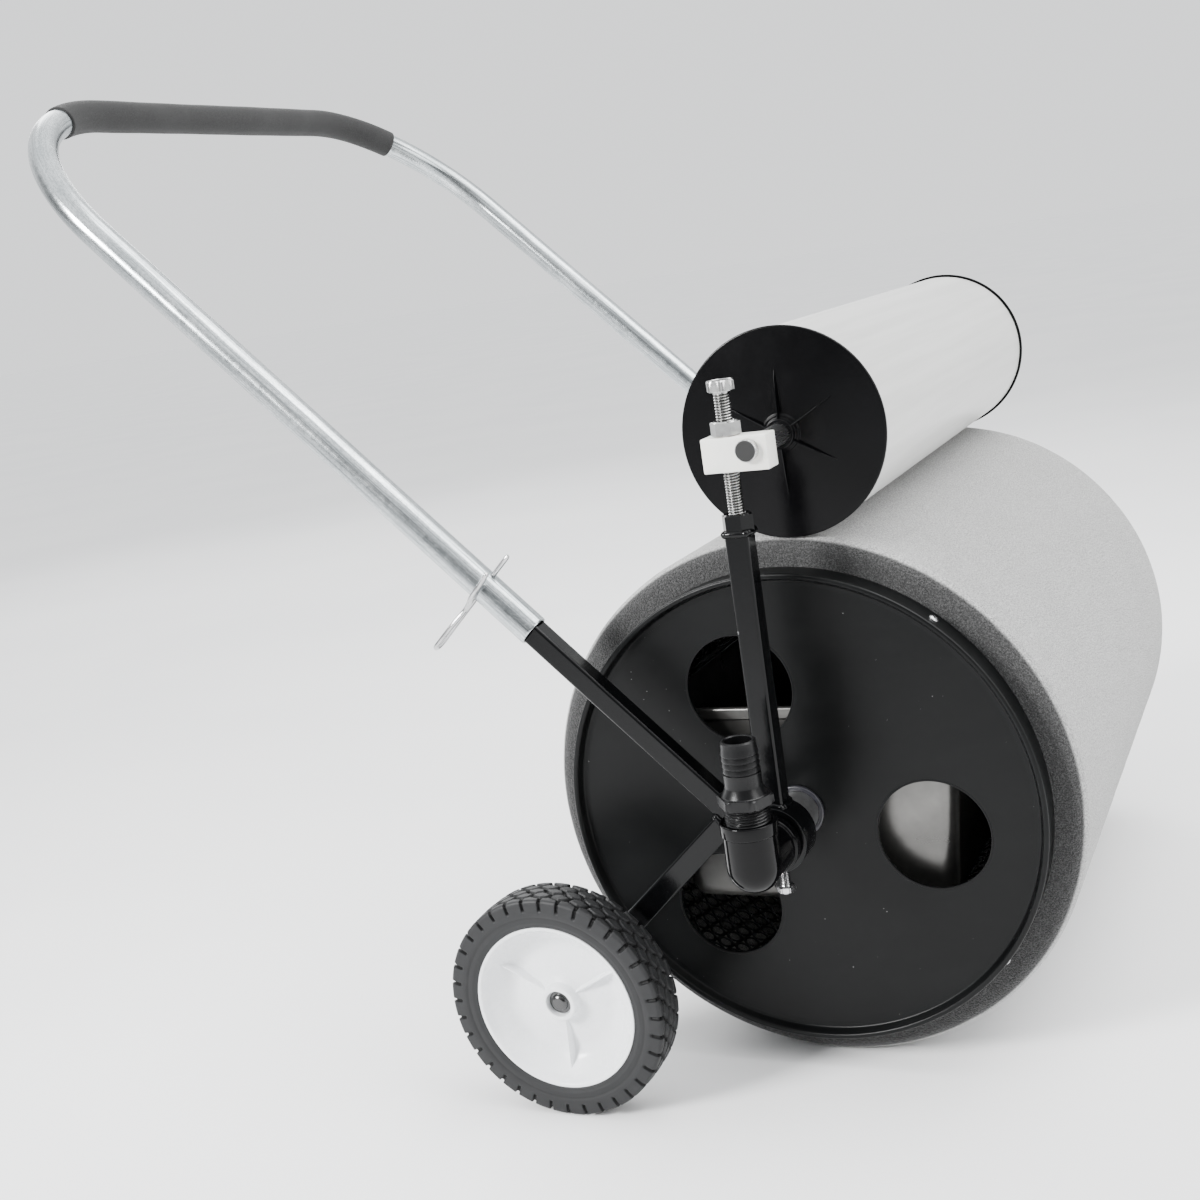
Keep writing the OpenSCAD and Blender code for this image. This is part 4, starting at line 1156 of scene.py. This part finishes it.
def makeHub(name, side):
    # one turned outline: boss with a counterbore, web falling to a valley, wall climbing to the lip, and back
    wheel = middle("tyre_right")
    path = acrossAt(wheel[1], wheel[2])
    low, tip = edge("wheel_hub_right", 0, False), edge("push_nut_right", 0) + 0.4
    nutBack, valley = edge("push_nut_right", 0, False) - 0.3, hub["valley"]
    rim, bore = hub["rim"], hub["bore"]
    front = [[nutBack, bore], [nutBack, 10.3], [tip, 10.6], [tip, 14.2], [391.0, 15.4], [388.5, 21.0],
             [valley, 46.0], [398.5, 61.5], [404.6, 64.6], [405.4, rim]]
    back = [[371.5, rim], [371.5, 62.0], [392.0, 59.5], [valley - 4, 47.0], [384.0, 15.0], [low, hub["boss"]],
            [low, bore]]
    outline = filleted(front + back, [0.2, 0.4, 0.9, 1.3, 2.0, 12.0, 16.0, 10.0, 2.0, 0.7,
                                      0.8, 1.0, 5.0, 8.0, 2.0, 1.0, 0.4], 9)
    sweep("wheel_hub_dished_" + name, sided(outline, side), path, "wheel_" + name, "hub_plastic", sides=192,
          closed=True, replaces=["wheel_hub_" + name], sharp=38)
    # fins: a thin wing that leaves the boss low and ends high over the valley
    t = np.linspace(0, 1, 30)[:, None]
    reach = 13.0 + (hub["reach"] - 13.0) * t
    web = (388.5 - (388.5 - valley) * np.clip((reach - 21) / 25, 0, 1)
           + 14.5 * np.clip((reach - 46) / 15.5, 0, 1))
    crest = 391.2 + 3.0 * t
    crest = crest - (crest - web) * np.clip((t - 0.93) / 0.07, 0, 1) ** 1.6
    width = np.array([-3.4, -1.9, -1.0, -0.55, 0, 0.55, 1.0, 1.9, 3.4])[None] * (1.1 - 0.3 * t)
    lift = np.array([-0.2, 0.12, 0.75, 0.97, 1.0, 0.97, 0.75, 0.12, -0.2])[None]
    height = web - 0.8 + np.maximum(crest - web + 0.8, 0.1) * lift
    grids = []
    for i in range(hub["ribs"]):
        outwards, sideways = spoke(hub["ribTurn"] + 360 / hub["ribs"] * i)
        fin = (np.array([0, wheel[1], wheel[2]]) + (reach * np.ones_like(width))[..., None] * outwards
               + width[..., None] * sideways + side * height[..., None] * np.array([1.0, 0, 0]))
        ends = np.concatenate([fin[:1].mean(1, keepdims=True).repeat(9, 1), fin,
                               fin[-1:].mean(1, keepdims=True).repeat(9, 1)])
        grids.append((ends, gridFaces(len(ends), 9, False, True)))
    points, faces = together(*grids)
    put("wheel_hub_fins_" + name, points, faces, "wheel_" + name, "hub_plastic", sharp=60,
        replaces=["wheel_hub_" + name])
    # push nut: a domed cap with a toothed skirt pressed on the axle's end
    tip, back = edge("push_nut_right", 0), edge("push_nut_right", 0, False)
    rows = filleted([[tip - 0.2, 0.01], [tip - 0.2, 4.6], [tip - 1.4, 6.4], [back + 1.4, 6.9],
                     [back + 1.1, 9.4], [back, 9.4], [back, 0.01]],
                    [0.1, 1.4, 1.2, 0.6, 0.4, 0.3, 0.1], 5, closed=False)
    sweep("push_nut_domed_" + name, sided(rows, side), path, "frame", "axle_steel", sides=64,
          replaces=["push_nut_" + name], sharp=40)


for name, side in sides.items():
    makeTyre(name, side)
    makeHub(name, side)
print("wheels")

elbow = {"radius": 20.0, "start": 357.0, "band": 22.3, "top": 34.0}
drainX = middle("hose_barb")[0]


def makeElbow():
    # the body turned about the standing axis with a domed foot, and the side branch with its bead
    r, top = elbow["radius"], elbow["top"]
    dome = np.linspace(0, math.pi / 2, 22)
    rows = ([[-r * math.cos(t) * 1.03, r * math.sin(t)] for t in dome] + [[4, r], [12, r], [top - 10, r]]
            + filleted([[top - 10, r], [top - 9, r + 1.0], [top, r + 1.0], [top, 17.3], [top - 15, 17.0],
                        [top - 15, 0.01]], [0.6, 0.8, 0.8, 0.4, 0.4, 0.1], 4, closed=False).tolist())
    sweep("drain_elbow_body", rows, upAt(drainX, 0), "drain", "fitting_plastic", sides=128,
          replaces=["drain_elbow"], sharp=38)
    s0 = elbow["start"]
    branch = filleted([[s0, 17.0], [s0, elbow["band"]], [s0 + 8.5, elbow["band"]], [s0 + 9.5, r + 0.6],
                       [s0 + 12.0, r - 0.05], [drainX + 2, r - 0.4], [drainX + 2, 12], [s0 + 18, 12.0],
                       [s0 + 18, 17.0]], [0.5, 1.5, 1.5, 0.6, 1.5, 0.1, 0.1, 0.3, 0.3], 5)
    sweep("drain_elbow_branch", branch, acrossRight, "drain", "fitting_plastic", sides=128, closed=True,
          replaces=["drain_elbow"], sharp=38)


makeElbow()
barb = {"thread": 16.6, "depth": 1.1, "pitch": 2.3, "flats": 36.0, "hexLow": 46.0, "hexHigh": 53.6,
        "outer": 13.6, "landTop": 70.0, "ridge": 4.4}


def makeBarb():
    # turned outline: plug, screw cut neck, six sided collar, cone, smooth land, saw tooth ridges, bored mouth
    top = edge("hose_barb", 2)
    low, high, outer, land = barb["hexLow"], barb["hexHigh"], barb["outer"], barb["landTop"]
    neck = np.arange(19.0, low - 0.6, 0.2)
    rows = [[19, 0.01], [19, 16.0]] + [[z, barb["thread"]] for z in neck]
    rows += [[low - 0.4, 15.6], [low, 15.8], [low, 19.4], [low + 1.0, 20.9], [high - 1.0, 20.9], [high, 19.2],
             [high, 16.9], [high + 0.5, 16.2], [60.0, outer + 0.1], [60.6, outer], [land, outer - 0.02]]
    for k in range(int((top - 5.0 - land) / barb["ridge"])):
        z = land + k * barb["ridge"]
        rows += [[z + 0.1, outer - 0.9], [z + 0.6, outer - 0.9], [z + 1.2, outer], [z + 1.8, outer],
                 [z + barb["ridge"] - 0.1, outer - 0.6]]
    rows += [[top - 1.2, outer - 0.9], [top, outer - 1.9], [top, 10.7], [top - 0.8, 10.05], [top - 40, 10.0],
             [top - 40, 0.01]]
    thread = screwShape(barb["thread"], barb["depth"], barb["pitch"], 20, low - 0.5)
    six = hexShape(barb["flats"], math.radians(7.5))

    def both(angle, radius, distance):
        return np.where((distance >= low) & (distance <= high), six(angle, radius, distance),
                        thread(angle, radius, distance))
    sweep("hose_barb_turned", rows, upAt(drainX, 0), "drain", "barb_plastic", sides=96, shape=both,
          replaces=["hose_barb"], sharp=30)


makeBarb()
pipeCap = {"band": 21.0, "body": 20.2, "plug": 16.8, "flats": 30.0, "hexLong": 16.0}


def makePipeCap():
    # turned outline: banded socket, neck, then a six sided end with a dished tip
    tip, start, body = -edge("pipe_cap", 0, False), -edge("pipe_cap", 0), pipeCap["body"]
    hexAt, plug, band = tip - pipeCap["hexLong"], pipeCap["plug"], pipeCap["band"]
    socket = filleted([[start, plug], [start, band], [start + 8, band], [start + 9, body],
                       [hexAt - 1, body], [hexAt, 19.0], [hexAt, 16.5]],
                      [0.4, 1.2, 1.0, 0.5, 1.2, 0.5, 0.1], 5, closed=False)
    rows = [[start + 14, 0.01], [start + 14, plug]] + socket.tolist()
    rows += [[hexAt + 0.1, 17.0], [tip - 1.4, 17.5], [tip, 14.4], [tip, 0.01]]
    six = hexShape(pipeCap["flats"])

    def shape(angle, radius, distance):
        return np.where(np.abs(distance) > hexAt + 0.05, six(angle, radius, distance), radius)
    sweep("pipe_cap_turned", sided(rows, -1), acrossRight, "frame", "fitting_plastic", sides=96, shape=shape,
          replaces=["pipe_cap"], sharp=35)


makePipeCap()
print("drain")

# the solids that stay as they are get their finishes
for node, thing in frame["nodes"].items():
    slotName = next(part["material_slot"] for part in frame["record"]["subparts"] if part["node"] == node)
    for k in range(max(len(thing.material_slots), 1)):
        if not thing.material_slots:
            thing.data.materials.append(finishes[slotName])
        else:
            thing.material_slots[k].material = finishes[slotName]

studio = {"floor": 60.0, "floorColor": (0.87, 0.87, 0.87, 1), "floorShade": (0.84, 0.84, 0.845, 1),
          "behind": 1.42, "before": 0.3, "above": 2.1, "sky": (0.97, 0.985, 1.0, 1)}


def aimed(name, place, aim, size, power, spread):
    # a square lamp at one point that looks at another
    lamp = bpy.data.lights.new(name, "AREA")
    lamp.shape, lamp.size, lamp.energy, lamp.spread = "SQUARE", size, power, math.radians(spread)
    thing = bpy.data.objects.new(name, lamp)
    thing.location = place
    thing.rotation_euler = (Vector(aim) - Vector(place)).to_track_quat("-Z", "Y").to_euler()
    bpy.context.collection.objects.link(thing)


def makeStudio():
    # one square of floor, a world whose strength follows the direction, four lamps
    s = studio["floor"]
    mesh = bpy.data.meshes.new("floor")
    mesh.from_pydata([(-s, -s, 0), (s, -s, 0), (s, s, 0), (-s, s, 0)], [], [(0, 1, 2, 3)])
    floor = bpy.data.objects.new("floor", mesh)
    bpy.context.collection.objects.link(floor)
    f = Finish("floorPaint")
    color = f.blend(f.noise(2.0).ramp(0.3, 0.7), studio["floorColor"], studio["floorShade"])
    mesh.materials.append(f.set(color=color, rough=0.9, specular=0.1))
    # a pale sweep behind the object that darkens towards the open side of the studio
    world = bpy.data.worlds.new("studio")
    world.use_nodes = True
    tree = world.node_tree
    direction = addNode(tree, "TexCoord", {}, {}, "Generated")
    forward = addNode(tree, "SeparateXYZ", {}, {0: direction}, "X")
    upward = addNode(tree, "SeparateXYZ", {}, {0: direction}, "Z").ramp(0.35, 0.85)
    level = forward.ramp(0.25, -0.35) * (studio["behind"] - studio["before"]) + studio["before"]
    strength = level * (1.0 - upward) + upward * studio["above"]
    background = tree.nodes["Background"]
    background.inputs["Color"].default_value = studio["sky"]
    tree.links.new(strength.socket, background.inputs["Strength"])
    bpy.context.scene.world = world
    # name: place, aims at, size, power, spread
    lights = {"top": ((-0.4, 1.3, 3.0), (-0.1, 0.1, 0.3), 2.4, 75, 140),
              "hub": ((2.5, -1.6, 1.7), (0.3, 0.0, 0.3), 0.9, 26, 60),
              "front": ((0.9, 3.2, 1.7), (0, 0.2, 0.3), 1.8, 30, 120),
              "rear": ((-2.4, -2.2, 2.4), (0, 0, 0.4), 2.0, 45, 140)}
    for name, facts in lights.items():
        aimed(name, *facts)


makeStudio()

view = {"place": (1385.1, 400.1, 429.2), "right": (-0.4122, 0.8991, -0.1472), "up": (-0.2476, 0.0449, 0.9678),
        "back": (0.8768, 0.4354, 0.2041), "lens": 47.30}


def makeCamera():
    # its three axes are the columns of its turn, and its place is in millimetres from the axle
    data = bpy.data.cameras.new("camera")
    data.lens, data.sensor_width, data.clip_start, data.clip_end = view["lens"], 36.0, 0.05, 60.0
    thing = bpy.data.objects.new("camera", data)
    matrix = np.eye(4)
    matrix[:3, :3] = np.array([view["right"], view["up"], view["back"]]).T
    matrix[:3, 3] = np.array(view["place"]) / 1000 + (0, axleY, axleZ)
    thing.matrix_world = Matrix(matrix.tolist())
    bpy.context.collection.objects.link(thing)
    bpy.context.scene.camera = thing


makeCamera()
# the replaced solids stay in the scene, hidden
print("studio ready")
